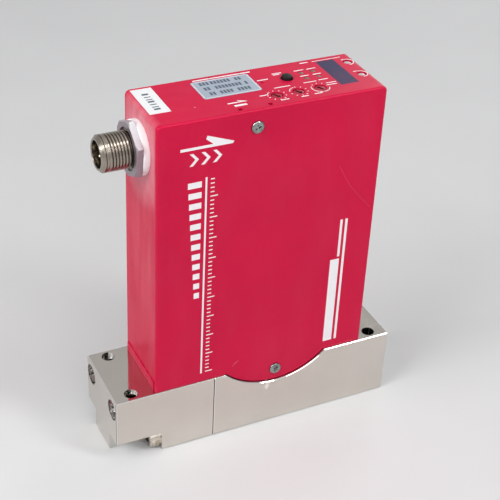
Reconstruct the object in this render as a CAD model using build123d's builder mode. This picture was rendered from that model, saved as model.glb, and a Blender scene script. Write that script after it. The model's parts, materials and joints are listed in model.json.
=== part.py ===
from build123d import *
import os

# Thermal mass flow controller for a surface-mount gas panel.
# Millimetres, +Z up. X runs with the gas, from the inlet end (-X) to the outlet end (+X).
# The front face looks along -Y. The origin is the centre of the mounting face.

os.makedirs("parts", exist_ok=True)

# ---------------------------------------------------------------- driving sizes

# flow body: an inlet block bolted to the main block
body_height = 25.8
inlet_block_length = 36.1
edge_break = 0.3

# holes for the four M4 screws that hold the controller on its panel
mount_hole_d = 4.6
mount_inset_x = 6.5
mount_inset_y = 3.4

# gas passages
passage_d = 4.0
flow_axis_z = 12.0
port_recess_d = 9.4
port_recess_depth = 1.5
bypass_bore_d = 10.0
bypass_bore_past_tap = 2.1
link_passage_d = 1.6
riser_d = 1.4
outlet_passage_d = 3.0

# rabbets under the inlet end, where the lower joint screws go in
rabbet_length = 16.5
rabbet_gap = 0.5

# M4 socket-head screws that join the two blocks
joint_screw_d = 4.0
joint_screw_grip = 8.0
joint_head_d = 7.0
joint_head_height = 4.0
joint_hex_flats = 3.0
joint_hex_depth = 2.0
upper_head_side_wall = 0.6
upper_head_top_wall = 2.0
lower_head_side_gap = 0.2
lower_head_lift = 0.3
counterbore_gap = 0.2
screw_hole_gap = 0.15
thread_gap = 0.02
seal_land = 0.8
seal_section = 1.4
seal_width = 1.2

# sheet-metal cover: a wrap of two ends and a top, closed by a front and a rear panel
cover_from_inlet_end = 14.5
cover_from_outlet_end = 11.5
cover_height = 100.7
cover_inset = 0.85
panel_thickness = 1.4
panel_edge_round = 0.8
corner_radius = 1.8
sheet = 1.2
hem_height = 3.6
hem_proud = 0.4
lobe_radius = 27.2
lobe_drop = 7.7
lobe_from_joint = 23.5
lobe_gap = 0.25
tab_from_cover_end = 33.3
tab_width = 8.9
tab_drop = 9.0
tab_relief = 1.4

# M2.5 pan-head screws that hold the panels
cover_screw_d = 2.5
cover_head_d = 4.3
cover_head_height = 0.8
cover_screw_length = 6.0
cross_width = 0.55
cross_span = 2.4
cross_depth = 0.5
upper_cover_screw_drop = 5.9
lower_cover_screw_rise = 4.6
clinch_nut_d = 5.6
clinch_nut_height = 2.4

# round five-pin connector on the inlet end of the cover
connector_drop = 13.1
connector_thread_d = 12.0
connector_reach = 14.3
mouth_chamfer = 1.0
connector_hex_flats = 17.0
connector_hex_turn = 23.7
connector_hex_thickness = 2.2
hex_chamfer = 0.7
washer_d = 17.8
washer_thickness = 2.2
root_groove_width = 0.9
root_groove_depth = 1.0
shank_d = 10.0
shank_length = 8.0
cup_d = 8.8
cup_depth = 8.3
insert_d = 8.0
insert_tail = 1.0
key_width = 1.6
key_height = 1.0
key_length = 6.0
pin_d = 1.0
pin_circle_d = 5.2
pin_proud = 6.8
pin_tail = 2.4
lock_nut_flats = 13.0
lock_nut_thickness = 2.4
connector_board_thickness = 1.2
connector_board_height = 16.0
connector_board_front = 7.0

# sensor that reads the flow through a heated capillary
sensor_flange_length = 30.0
sensor_flange_width = 13.0
sensor_flange_height = 6.0
sensor_from_joint = 0.4
tap_inset = 2.5
tap_d = 1.6
capillary_d = 0.8
capillary_rise = 20.0
capillary_bend = 3.0
winding_d = 2.2
winding_gap = 1.0
winding_end_gap = 0.4
sensor_case_height = 27.0
sensor_case_wall = 1.0
sensor_case_round = 2.0
bypass_end_gap = 2.5
fit_gap = 0.02

# M2 screws: sensor flange, board brackets and display board
small_screw_d = 2.0
small_head_d = 3.8
small_head_height = 1.3
head_gap = 0.1
sensor_screw_grip = 5.0

# piezo-driven diaphragm valve
valve_from_sensor = 3.0
valve_from_outlet_end = 26.5
valve_pocket_d = 16.0
valve_pocket_depth = 2.8
chamber_d = 12.0
chamber_depth = 1.2
seat_d = 7.0
seat_height = 4.0
seat_orifice_d = 1.0
seat_lift = 0.1
diaphragm_thickness = 0.2
valve_flange_size = 18.0
valve_flange_height = 5.0
valve_tube_d = 15.0
valve_tube_height = 52.0
plunger_d = 7.0
plunger_length = 9.0
guide_gap = 0.05
ball_d = 3.0
ball_dimple = 0.8
stack_bore_d = 9.0
stack_d = 8.4
valve_cap_height = 6.0
valve_cap_flats = 12.0
valve_screw_inset = 2.1
valve_screw_d = 3.0
valve_head_d = 4.8
valve_head_height = 2.6
valve_screw_grip = 7.0

# circuit boards
board_thickness = 1.6
board_back_gap = 1.05
board_valve_gap = 0.4
board_bottom_gap = 1.7
board_top_gap = 2.0
board_left_margin = 6.8
board_right_margin = 1.8
chip_size = 12.0
chip_thickness = 1.5
bracket_width = 4.4
bracket_thickness = 1.0
bracket_height = 13.0
bracket_foot = 7.0
left_bracket_inset = 0.6
right_bracket_from_cover = 0.4
bracket_screw_length = 4.0
display_depth = 8.1
display_board_thickness = 1.2
display_board_length = 37.8
display_board_side_gap = 0.65
display_board_margin = 0.5
link_length = 20.0
link_depth = 3.0
link_height = 6.0
standoff_flats = 3.6
standoff_inset = 2.2

# controls on the top: x runs back from the outlet end of the cover, y from its middle
zero_button_from_end = 27.8
zero_button_y = 2.95
zero_button_d = 3.6
zero_button_proud = 1.2
zero_button_travel = 0.4
button_gap = 0.3
collar_width = 0.5
collar_height = 1.0
switch_size = 6.0
switch_height = 3.2
small_button_from_end = 3.4
small_button_y = (7.0, -2.4)
small_button_d = 2.4
small_button_sink = 0.15
small_button_travel = 0.25
small_switch_size = 2.9
stop_gap = 0.2
dial_from_end = 20.75
dial_pitch = 7.65
dial_count = 3
dial_y = -6.6
dial_d = 3.4
dial_sink = 0.2
dial_slot_length = 2.8
dial_slot_width = 0.8
dial_slot_turn = 118.0
dial_slot_depth = 0.8
dial_body_size = 7.2
dial_body_height = 5.0
dial_bore_depth = 3.4
running_gap = 0.05
lens_from_end = 17.4
lens_pitch_x = 4.3
lens_pitch_y = 3.9
lens_y = 2.95
lens_d = 2.0
led_height = 1.4
pinhole_from_end = 36.5
pinhole_y = 2.9
pinhole_d = 1.0
window_from_end = 10.35
window_length = 6.5
window_rear_margin = 1.65
window_front_margin = 4.85
window_flange = 0.7
window_flange_height = 0.8
module_height = 7.0

# labels stuck on the top
rating_label_from_end = 48.5
rating_label_y = 4.2
rating_label_length = 19.8
rating_label_width = 12.0
rating_label_round = 0.8
serial_label_from_start = 4.65
serial_label_y = 3.25
serial_label_length = 6.9
serial_label_width = 16.9
label_thickness = 0.12

# ---------------------------------------------------------------- places that follow

# the body is as long as the sensor and the valve in a row need, and the cover as wide as the valve
# flange and a board on each side of it
x_inlet_end = -(inlet_block_length + sensor_from_joint + sensor_flange_length + valve_from_sensor
                + valve_flange_size / 2 + valve_from_outlet_end) / 2
x_outlet_end = -x_inlet_end
body_length = x_outlet_end - x_inlet_end
x_joint = x_inlet_end + inlet_block_length
board_front = valve_flange_size / 2 + board_valve_gap
board_back = board_front + board_thickness
panel_back = board_back + board_back_gap
panel_face = panel_back + panel_thickness
y_face = panel_face + cover_inset
body_width = 2 * y_face
port_x = x_outlet_end - mount_inset_x
hole_y = y_face - mount_inset_y

cover_left = x_inlet_end + cover_from_inlet_end
cover_right = x_outlet_end - cover_from_outlet_end
cover_length = cover_right - cover_left
cover_middle = (cover_left + cover_right) / 2
cover_top = body_height + cover_height
top_underside = cover_top - sheet
lobe_x = x_joint + lobe_from_joint
lobe_bottom = body_height - lobe_drop
lobe_centre_z = lobe_bottom + lobe_radius
tab_x = cover_left + tab_from_cover_end
upper_cover_screw_z = cover_top - upper_cover_screw_drop
lower_cover_screw_z = lobe_bottom + lower_cover_screw_rise

sensor_x = x_joint + sensor_from_joint + sensor_flange_length / 2
sensor_screw_pitch = sensor_flange_length - small_head_d - 2 * head_gap
sensor_case_length = sensor_screw_pitch - small_head_d - 2 * head_gap
tap_pitch = sensor_case_length - 2 * tap_inset
winding_length = (tap_pitch - winding_gap) / 2 - capillary_bend - winding_end_gap
bypass_length = tap_pitch - 2 * bypass_end_gap
bypass_bore_end = sensor_x + tap_pitch / 2 + bypass_bore_past_tap
seal_inner_r = bypass_bore_d / 2 + seal_land
flange_top = body_height + sensor_flange_height
valve_x = x_outlet_end - valve_from_outlet_end
riser_x = valve_x - chamber_d / 2 + riser_d
pocket_floor = body_height - valve_pocket_depth
chamber_floor = pocket_floor - chamber_depth
diaphragm_top = pocket_floor + diaphragm_thickness
seat_top = pocket_floor - seat_lift
seat_bottom = seat_top - seat_height
valve_flange_top = body_height + valve_flange_height
valve_tube_top = valve_flange_top + valve_tube_height
valve_screw_pitch = valve_flange_size - 2 * valve_screw_inset

board_bottom = body_height + board_bottom_gap
board_left = cover_left + board_left_margin
board_right = cover_right - board_right_margin
display_top = top_underside - display_depth
display_bottom = display_top - display_board_thickness
display_board_width = 2 * (panel_back - display_board_side_gap)
board_top = display_bottom - board_top_gap
connector_z = cover_top - connector_drop
display_right = cover_right - sheet - display_board_margin
display_left = display_right - display_board_length

rabbet_size = joint_head_d + rabbet_gap
upper_screw_y = y_face - joint_head_d / 2 - upper_head_side_wall
upper_screw_z = body_height - joint_head_d / 2 - upper_head_top_wall
lower_screw_y = y_face - joint_head_d / 2 - lower_head_side_gap
lower_screw_z = joint_head_d / 2 + lower_head_lift
joint_screws_at = [(side * y, z) for side in (1, -1)
                   for y, z in ((upper_screw_y, upper_screw_z), (lower_screw_y, lower_screw_z))]
joint_seat_x = x_inlet_end + rabbet_length

zero_button_at = (cover_right - zero_button_from_end, zero_button_y)
small_buttons_at = [(cover_right - small_button_from_end, y) for y in small_button_y]
dials_at = [(cover_right - dial_from_end - step * dial_pitch, dial_y)
            for step in reversed(range(dial_count))]
lenses_at = [(cover_right - lens_from_end - across * lens_pitch_x, lens_y + up * lens_pitch_y / 2)
             for up in (1, -1) for across in (1, 0)]
pinhole_at = (cover_right - pinhole_from_end, pinhole_y)
window_width = 2 * panel_back - window_rear_margin - window_front_margin
window_at = (cover_right - window_from_end, (window_front_margin - window_rear_margin) / 2)


def keep(piece, name):
    """Label a finished sub-part and write it as parts/NAME.step."""
    piece.part.label = name
    export_step(piece.part, f"parts/{name}.step")


def end_plane(x):
    """A sketch plane across the flow at x, with Y across and Z up."""
    return Plane.YZ.offset(x)


def side_plane(side, distance):
    """A sketch plane parallel to the front; side 1 is the front, -1 the rear."""
    return Plane.XZ.offset(side * distance)


# ---------------------------------------------------------------- flow body

with BuildPart() as inlet_block:
    with BuildSketch(end_plane(x_inlet_end)):
        with Locations((0, body_height / 2)):
            Rectangle(body_width, body_height)
    extrude(amount=inlet_block_length)
    chamfer(inlet_block.edges(), edge_break)
    # rabbets along both lower edges of the inlet end
    with BuildSketch(end_plane(x_inlet_end)):
        with Locations((y_face - rabbet_size / 2, rabbet_size / 2),
                       (rabbet_size / 2 - y_face, rabbet_size / 2)):
            Rectangle(rabbet_size, rabbet_size)
    extrude(amount=rabbet_length, mode=Mode.SUBTRACT)
    # deep counterbores for the upper joint screws
    with BuildSketch(end_plane(x_inlet_end)):
        with Locations((upper_screw_y, upper_screw_z), (-upper_screw_y, upper_screw_z)):
            Circle(joint_head_d / 2 + counterbore_gap)
    extrude(amount=rabbet_length, mode=Mode.SUBTRACT)
    with BuildSketch(end_plane(joint_seat_x)):
        with Locations(*joint_screws_at):
            Circle(joint_screw_d / 2 + screw_hole_gap)
    extrude(amount=inlet_block_length - rabbet_length, mode=Mode.SUBTRACT)
    # screw holes for mounting
    with BuildSketch(Plane.XY):
        with Locations((-port_x, hole_y), (-port_x, -hole_y)):
            Circle(mount_hole_d / 2)
    extrude(amount=body_height, mode=Mode.SUBTRACT)
    # inlet port with its seal recess, and the passage to the joint
    with BuildSketch(Plane.XY):
        with Locations((-port_x, 0)):
            Circle(port_recess_d / 2)
    extrude(amount=port_recess_depth, mode=Mode.SUBTRACT)
    with BuildSketch(Plane.XY):
        with Locations((-port_x, 0)):
            Circle(passage_d / 2)
    extrude(amount=flow_axis_z + passage_d / 2, mode=Mode.SUBTRACT)
    with BuildSketch(end_plane(-port_x)):
        with Locations((0, flow_axis_z)):
            Circle(passage_d / 2)
    extrude(amount=x_joint + port_x, mode=Mode.SUBTRACT)
keep(inlet_block, "inlet_block")

with BuildPart() as main_block:
    with BuildSketch(end_plane(x_joint)):
        with Locations((0, body_height / 2)):
            Rectangle(body_width, body_height)
    extrude(amount=body_length - inlet_block_length)
    chamfer(main_block.edges(), edge_break)
    # arc-shaped recesses that take the lobes of the two cover panels
    for side in (1, -1):
        with BuildSketch(side_plane(side, panel_back)):
            with Locations((lobe_x, lobe_centre_z)):
                Circle(lobe_radius + lobe_gap)
            with Locations((lobe_x, body_height - lobe_radius)):
                Rectangle(4 * lobe_radius, 2 * lobe_radius, mode=Mode.INTERSECT)
        extrude(amount=side * (y_face - panel_back), mode=Mode.SUBTRACT)
        face_arcs = main_block.edges().filter_by(GeomType.CIRCLE).sort_by(Axis.Y)
        chamfer(face_arcs[0 if side == 1 else -1], edge_break)
        with BuildSketch(side_plane(side, panel_back)):
            with Locations((lobe_x, lower_cover_screw_z)):
                Circle(cover_screw_d / 2 + thread_gap)
        extrude(amount=-side * (cover_screw_length - panel_thickness + screw_hole_gap), mode=Mode.SUBTRACT)
    # threads for the joint screws, and the groove of the joint seal
    with BuildSketch(end_plane(x_joint)):
        with Locations(*joint_screws_at):
            Circle(joint_screw_d / 2 + thread_gap)
    extrude(amount=joint_screw_grip + screw_hole_gap, mode=Mode.SUBTRACT)
    with BuildSketch(end_plane(x_joint)):
        with Locations((0, flow_axis_z)):
            Circle(seal_inner_r + seal_section)
            Circle(seal_inner_r, mode=Mode.SUBTRACT)
    extrude(amount=seal_width, mode=Mode.SUBTRACT)
    # bore of the laminar element, and the narrower bore on to the valve
    with BuildSketch(end_plane(x_joint)):
        with Locations((0, flow_axis_z)):
            Circle(bypass_bore_d / 2)
    extrude(amount=bypass_bore_end - x_joint, mode=Mode.SUBTRACT)
    with BuildSketch(end_plane(x_joint)):
        with Locations((0, flow_axis_z)):
            Circle(link_passage_d / 2)
    extrude(amount=riser_x + link_passage_d - x_joint, mode=Mode.SUBTRACT)
    with BuildSketch(Plane.XY.offset(flow_axis_z)):
        with Locations((riser_x, 0)):
            Circle(riser_d / 2)
    extrude(amount=chamber_floor - flow_axis_z, mode=Mode.SUBTRACT)
    # sensor taps and their screw holes
    with BuildSketch(Plane.XY.offset(flow_axis_z)):
        with Locations((sensor_x, 0)):
            with GridLocations(tap_pitch, 0, 2, 1):
                Circle(tap_d / 2)
    extrude(amount=body_height - flow_axis_z, mode=Mode.SUBTRACT)
    with BuildSketch(Plane.XY.offset(body_height)):
        with Locations((sensor_x, 0)):
            with GridLocations(sensor_screw_pitch, 0, 2, 1):
                Circle(small_screw_d / 2 + thread_gap)
    extrude(amount=-(sensor_screw_grip + screw_hole_gap), mode=Mode.SUBTRACT)
    # valve pocket, chamber, seat bore and flange screw holes
    with BuildSketch(Plane.XY.offset(body_height)):
        with Locations((valve_x, 0)):
            Circle(valve_pocket_d / 2)
    extrude(amount=-valve_pocket_depth, mode=Mode.SUBTRACT)
    with BuildSketch(Plane.XY.offset(pocket_floor)):
        with Locations((valve_x, 0)):
            Circle(chamber_d / 2)
    extrude(amount=-chamber_depth, mode=Mode.SUBTRACT)
    with BuildSketch(Plane.XY.offset(seat_bottom)):
        with Locations((valve_x, 0)):
            Circle(seat_d / 2 + fit_gap)
    extrude(amount=chamber_floor - seat_bottom, mode=Mode.SUBTRACT)
    with BuildSketch(Plane.XY.offset(body_height)):
        with Locations((valve_x, 0)):
            with GridLocations(valve_screw_pitch, valve_screw_pitch, 2, 2):
                Circle(valve_screw_d / 2 + thread_gap)
    extrude(amount=-(valve_screw_grip + screw_hole_gap), mode=Mode.SUBTRACT)
    # outlet: a sloping passage from under the seat to the outlet port
    outlet_start = Vector(valve_x, 0, seat_bottom)
    outlet_end = Vector(port_x, 0, flow_axis_z / 2)
    with BuildSketch(Plane(origin=outlet_start, z_dir=outlet_end - outlet_start)):
        Circle(outlet_passage_d / 2)
    extrude(amount=(outlet_end - outlet_start).length, mode=Mode.SUBTRACT)
    with BuildSketch(Plane.XY):
        with Locations((port_x, 0)):
            Circle(passage_d / 2)
    extrude(amount=flow_axis_z / 2 + passage_d / 2, mode=Mode.SUBTRACT)
    with BuildSketch(Plane.XY):
        with Locations((port_x, 0)):
            Circle(port_recess_d / 2)
    extrude(amount=port_recess_depth, mode=Mode.SUBTRACT)
    # screw holes for mounting
    with BuildSketch(Plane.XY):
        with Locations((port_x, hole_y), (port_x, -hole_y)):
            Circle(mount_hole_d / 2)
    extrude(amount=body_height, mode=Mode.SUBTRACT)
keep(main_block, "main_block")

with BuildPart() as joint_seal:
    with BuildSketch(end_plane(x_joint)):
        with Locations((0, flow_axis_z)):
            Circle(seal_inner_r + seal_section)
            Circle(seal_inner_r, mode=Mode.SUBTRACT)
    extrude(amount=seal_width)
keep(joint_seal, "joint_seal")

with BuildPart() as joint_screws:
    with BuildSketch(end_plane(joint_seat_x)):
        with Locations(*joint_screws_at):
            Circle(joint_head_d / 2)
    extrude(amount=-joint_head_height)
    chamfer(joint_screws.faces().sort_by(Axis.X)[:4].edges(), edge_break)
    with BuildSketch(end_plane(joint_seat_x)):
        with Locations(*joint_screws_at):
            Circle(joint_screw_d / 2)
    extrude(amount=x_joint + joint_screw_grip - joint_seat_x)
    with BuildSketch(end_plane(joint_seat_x - joint_head_height)):
        with Locations(*joint_screws_at):
            RegularPolygon(joint_hex_flats / 2, 6, major_radius=False)
    extrude(amount=joint_hex_depth, mode=Mode.SUBTRACT)
keep(joint_screws, "joint_screws")

with BuildPart() as bypass_element:
    with BuildSketch(end_plane(sensor_x - bypass_length / 2)):
        with Locations((0, flow_axis_z)):
            Circle(bypass_bore_d / 2 - fit_gap)
            Circle(link_passage_d / 2, mode=Mode.SUBTRACT)
            with PolarLocations((bypass_bore_d + link_passage_d) / 4, 8):
                Circle(link_passage_d / 2, mode=Mode.SUBTRACT)
    extrude(amount=bypass_length)
keep(bypass_element, "bypass_element")

# ---------------------------------------------------------------- sensor

with BuildPart() as sensor_flange:
    with BuildSketch(Plane.XY.offset(body_height)):
        with Locations((sensor_x, 0)):
            Rectangle(sensor_flange_length, sensor_flange_width)
            with GridLocations(tap_pitch, 0, 2, 1):
                Circle(capillary_d / 2, mode=Mode.SUBTRACT)
            with GridLocations(sensor_screw_pitch, 0, 2, 1):
                Circle(small_screw_d / 2 + screw_hole_gap, mode=Mode.SUBTRACT)
    extrude(amount=sensor_flange_height)
keep(sensor_flange, "sensor_flange")

capillary_top = flange_top + capillary_rise
with BuildPart() as sensor_tube:
    with BuildLine(Plane.XZ):
        FilletPolyline(
            (sensor_x - tap_pitch / 2, body_height),
            (sensor_x - tap_pitch / 2, capillary_top),
            (sensor_x + tap_pitch / 2, capillary_top),
            (sensor_x + tap_pitch / 2, body_height),
            radius=capillary_bend)
    with BuildSketch(Plane.XY.offset(body_height)):
        with Locations((sensor_x - tap_pitch / 2, 0)):
            Circle(capillary_d / 2)
    sweep()
keep(sensor_tube, "sensor_tube")

for name, shift in (("upstream_winding", -1), ("downstream_winding", 1)):
    with BuildPart() as winding:
        start = sensor_x + shift * (winding_gap / 2 + winding_length / 2) - winding_length / 2
        with BuildSketch(end_plane(start)):
            with Locations((0, capillary_top)):
                Circle(winding_d / 2)
                Circle(capillary_d / 2 + fit_gap, mode=Mode.SUBTRACT)
        extrude(amount=winding_length)
    keep(winding, name)

with BuildPart() as sensor_case:
    with BuildSketch(Plane.XY.offset(flange_top)):
        with Locations((sensor_x, 0)):
            Rectangle(sensor_case_length, sensor_flange_width)
    extrude(amount=sensor_case_height)
    fillet(sensor_case.edges().filter_by(Axis.Z), sensor_case_round)
    offset(amount=-sensor_case_wall, openings=sensor_case.faces().sort_by(Axis.Z)[0])
keep(sensor_case, "sensor_case")


def add_small_screw(reach):
    """One M2 cheese-head screw in the open part, head up on the current location."""
    Cylinder(small_head_d / 2, small_head_height, align=(Align.CENTER, Align.CENTER, Align.MIN))
    Cylinder(small_screw_d / 2, reach, align=(Align.CENTER, Align.CENTER, Align.MAX))


with BuildPart(Plane.XY.offset(flange_top)) as sensor_screws:
    with Locations((sensor_x, 0)):
        with GridLocations(sensor_screw_pitch, 0, 2, 1):
            add_small_screw(sensor_flange_height + sensor_screw_grip)
keep(sensor_screws, "sensor_screws")

# ---------------------------------------------------------------- valve

with BuildPart() as valve_seat:
    with BuildSketch(Plane.XY.offset(seat_bottom)):
        with Locations((valve_x, 0)):
            Circle(seat_d / 2)
            Circle(seat_orifice_d / 2, mode=Mode.SUBTRACT)
    extrude(amount=seat_height)
keep(valve_seat, "valve_seat")

with BuildPart() as valve_diaphragm:
    with BuildSketch(Plane.XY.offset(pocket_floor)):
        with Locations((valve_x, 0)):
            Circle(valve_pocket_d / 2 - fit_gap)
    extrude(amount=diaphragm_thickness)
keep(valve_diaphragm, "valve_diaphragm")

plunger_top = diaphragm_top + plunger_length
with BuildPart() as valve_housing:
    with BuildSketch(Plane.XY.offset(body_height)):
        with Locations((valve_x, 0)):
            RectangleRounded(valve_flange_size, valve_flange_size, valve_screw_d / 2)
            with GridLocations(valve_screw_pitch, valve_screw_pitch, 2, 2):
                Circle(valve_screw_d / 2 + screw_hole_gap, mode=Mode.SUBTRACT)
    extrude(amount=valve_flange_height)
    with BuildSketch(Plane.XY.offset(valve_flange_top)):
        with Locations((valve_x, 0)):
            Circle(valve_tube_d / 2)
    extrude(amount=valve_tube_height)
    # spigot that clamps the rim of the diaphragm
    with BuildSketch(Plane.XY.offset(diaphragm_top)):
        with Locations((valve_x, 0)):
            Circle(valve_pocket_d / 2 - fit_gap)
    extrude(amount=body_height - diaphragm_top)
    # room for the diaphragm to flex, plunger guide, and the bore of the piezo stack
    with BuildSketch(Plane.XY.offset(diaphragm_top)):
        with Locations((valve_x, 0)):
            Circle(plunger_d / 2 + guide_gap)
    extrude(amount=plunger_length, mode=Mode.SUBTRACT)
    with BuildSketch(Plane.XY.offset(plunger_top)):
        with Locations((valve_x, 0)):
            Circle(stack_bore_d / 2)
    extrude(amount=valve_tube_top - plunger_top, mode=Mode.SUBTRACT)
    # flats of the tube clear the heads of the flange screws
    with BuildSketch(Plane.XY.offset(valve_flange_top)):
        with Locations((valve_x, 0)):
            with GridLocations(valve_screw_pitch, valve_screw_pitch, 2, 2):
                Circle(valve_head_d / 2 + screw_hole_gap)
    extrude(amount=valve_head_height + screw_hole_gap, mode=Mode.SUBTRACT)
keep(valve_housing, "valve_housing")

with BuildPart() as valve_plunger:
    with BuildSketch(Plane.XY.offset(diaphragm_top)):
        with Locations((valve_x, 0)):
            Circle(plunger_d / 2)
    extrude(amount=plunger_length)
    with Locations((valve_x, 0, plunger_top - ball_dimple + ball_d / 2)):
        Sphere(ball_d / 2 + fit_gap, mode=Mode.SUBTRACT)
keep(valve_plunger, "valve_plunger")

ball_top = plunger_top - ball_dimple + ball_d
with BuildPart() as thrust_ball:
    with Locations((valve_x, 0, ball_top - ball_d / 2)):
        Sphere(ball_d / 2)
keep(thrust_ball, "thrust_ball")

with BuildPart() as piezo_stack:
    with BuildSketch(Plane.XY.offset(ball_top)):
        with Locations((valve_x, 0)):
            Circle(stack_d / 2)
    extrude(amount=valve_tube_top - ball_top)
    chamfer(piezo_stack.edges(), edge_break)
keep(piezo_stack, "piezo_stack")

with BuildPart() as valve_cap:
    with BuildSketch(Plane.XY.offset(valve_tube_top)):
        with Locations((valve_x, 0)):
            RegularPolygon(valve_cap_flats / 2, 6, major_radius=False)
    extrude(amount=valve_cap_height)
keep(valve_cap, "valve_cap")

with BuildPart(Plane.XY.offset(valve_flange_top)) as valve_screws:
    with Locations((valve_x, 0)):
        with GridLocations(valve_screw_pitch, valve_screw_pitch, 2, 2):
            Cylinder(valve_head_d / 2, valve_head_height, align=(Align.CENTER, Align.CENTER, Align.MIN))
            Cylinder(valve_screw_d / 2, valve_flange_height + valve_screw_grip,
                     align=(Align.CENTER, Align.CENTER, Align.MAX))
keep(valve_screws, "valve_screws")

# ---------------------------------------------------------------- circuit boards

bracket_xs = {
    "board_bracket_left": board_left + left_bracket_inset + bracket_width / 2,
    "board_bracket_right": cover_right - sheet - right_bracket_from_cover - bracket_width / 2,
}
bracket_screw_z = body_height + bracket_height - small_head_d

with BuildPart() as control_board:
    with BuildSketch(side_plane(-1, board_front)):
        with Locations(((board_left + board_right) / 2, (board_bottom + board_top) / 2)):
            Rectangle(board_right - board_left, board_top - board_bottom)
        for x in bracket_xs.values():
            with Locations((x, bracket_screw_z)):
                Circle(small_screw_d / 2 + fit_gap, mode=Mode.SUBTRACT)
    extrude(amount=-board_thickness)
keep(control_board, "control_board")

with BuildPart() as main_chip:
    with BuildSketch(side_plane(-1, board_front)):
        with Locations((board_left + chip_size, board_top - 2 * chip_size)):
            Rectangle(chip_size, chip_size)
    extrude(amount=chip_thickness)
keep(main_chip, "main_chip")

for name, x in bracket_xs.items():
    with BuildPart() as bracket:
        with BuildSketch(end_plane(x - bracket_width / 2)):
            with BuildLine():
                Polyline(
                    (board_front, body_height),
                    (board_front, body_height + bracket_height),
                    (board_front - bracket_thickness, body_height + bracket_height),
                    (board_front - bracket_thickness, body_height + bracket_thickness),
                    (board_front - bracket_foot, body_height + bracket_thickness),
                    (board_front - bracket_foot, body_height),
                    close=True)
            make_face()
        extrude(amount=bracket_width)
        with BuildSketch(side_plane(-1, board_front)):
            with Locations((x, bracket_screw_z)):
                Circle(small_screw_d / 2 + fit_gap)
        extrude(amount=bracket_thickness, mode=Mode.SUBTRACT)
    keep(bracket, name)

with BuildPart() as bracket_screws:
    for x in bracket_xs.values():
        with BuildSketch(side_plane(-1, board_front - bracket_thickness)):
            with Locations((x, bracket_screw_z)):
                Circle(small_head_d / 2)
        extrude(amount=small_head_height)
        with BuildSketch(side_plane(-1, board_front - bracket_thickness)):
            with Locations((x, bracket_screw_z)):
                Circle(small_screw_d / 2)
        extrude(amount=-bracket_screw_length + bracket_thickness)
keep(bracket_screws, "bracket_screws")

with BuildPart() as display_board:
    with BuildSketch(Plane.XY.offset(display_bottom)):
        with Locations(((display_left + display_right) / 2, 0)):
            Rectangle(display_board_length, display_board_width)
    extrude(amount=display_board_thickness)
keep(display_board, "display_board")

with BuildPart() as board_link:
    with BuildSketch(Plane.XY.offset(display_bottom)):
        with Locations(((display_left + display_right) / 2, board_front - link_depth / 2)):
            Rectangle(link_length, link_depth)
    extrude(amount=-link_height)
keep(board_link, "board_link")

standoffs_at = [(display_left + standoff_inset, display_board_width / 2 - standoff_inset),
                (display_right - standoff_inset, standoff_inset - display_board_width / 2)]

with BuildPart() as display_standoffs:
    with BuildSketch(Plane.XY.offset(display_top)):
        with Locations(*standoffs_at):
            RegularPolygon(standoff_flats / 2, 6, major_radius=False)
    extrude(amount=display_depth)
keep(display_standoffs, "display_standoffs")

# ---------------------------------------------------------------- cover

with BuildPart() as cover_wrap:
    # one strip of sheet, bent down at both ends, with a hem along each lower edge
    with BuildSketch(Plane.XZ):
        with Locations((cover_middle, body_height)):
            Rectangle(cover_length, cover_height, align=(Align.CENTER, Align.MIN))
    extrude(amount=panel_back, both=True)
    fillet(cover_wrap.edges().filter_by(Axis.Y).group_by(Axis.Z)[-1], corner_radius)
    with BuildSketch(Plane.XZ) as wrap_inside:
        with Locations((cover_middle, body_height)):
            Rectangle(cover_length - 2 * sheet, cover_height - sheet, align=(Align.CENTER, Align.MIN))
        fillet(wrap_inside.vertices().group_by(Axis.Y)[-1], corner_radius - sheet)
    extrude(amount=panel_back, both=True, mode=Mode.SUBTRACT)
    with BuildSketch(Plane.XZ):
        with Locations((cover_left - hem_proud / 2, body_height),
                       (cover_right + hem_proud / 2, body_height)):
            Rectangle(hem_proud, hem_height, align=(Align.CENTER, Align.MIN))
    extrude(amount=panel_back, both=True)
    fillet(cover_wrap.edges().filter_by(Axis.Y).filter_by(
        lambda edge: not cover_left <= edge.center().X <= cover_right), hem_proud / 2)
    # tabs behind the panels, with a bend relief on each side
    for side in (1, -1):
        with BuildSketch(side_plane(side, panel_back)):
            with Locations((tab_x, top_underside)):
                Rectangle(tab_width, tab_drop, align=(Align.CENTER, Align.MAX))
            with Locations((tab_x, upper_cover_screw_z)):
                Circle(cover_screw_d / 2 + screw_hole_gap, mode=Mode.SUBTRACT)
        extrude(amount=-side * sheet)
        with BuildSketch(Plane.XY.offset(cover_top)):
            for edge in (1, -1):
                with Locations((tab_x + edge * (tab_width + tab_relief) / 2, -side * panel_back)):
                    Rectangle(tab_relief, 2 * tab_relief)
        extrude(amount=-sheet, mode=Mode.SUBTRACT)
    # openings in the top
    with BuildSketch(Plane.XY.offset(cover_top)):
        with Locations(zero_button_at):
            Circle(zero_button_d / 2 + button_gap)
        with Locations(*small_buttons_at):
            Circle(small_button_d / 2 + button_gap)
        with Locations(*dials_at):
            Circle(dial_d / 2 + button_gap)
        with Locations(*lenses_at):
            Circle(lens_d / 2 + fit_gap)
        with Locations(pinhole_at):
            Circle(pinhole_d / 2)
        with Locations(window_at):
            Rectangle(window_length + 2 * fit_gap, window_width + 2 * fit_gap)
    extrude(amount=-sheet, mode=Mode.SUBTRACT)
    # hole for the connector
    with BuildSketch(end_plane(cover_left)):
        with Locations((0, connector_z)):
            Circle(shank_d / 2 + fit_gap)
    extrude(amount=sheet, mode=Mode.SUBTRACT)
keep(cover_wrap, "cover_wrap")

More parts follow.
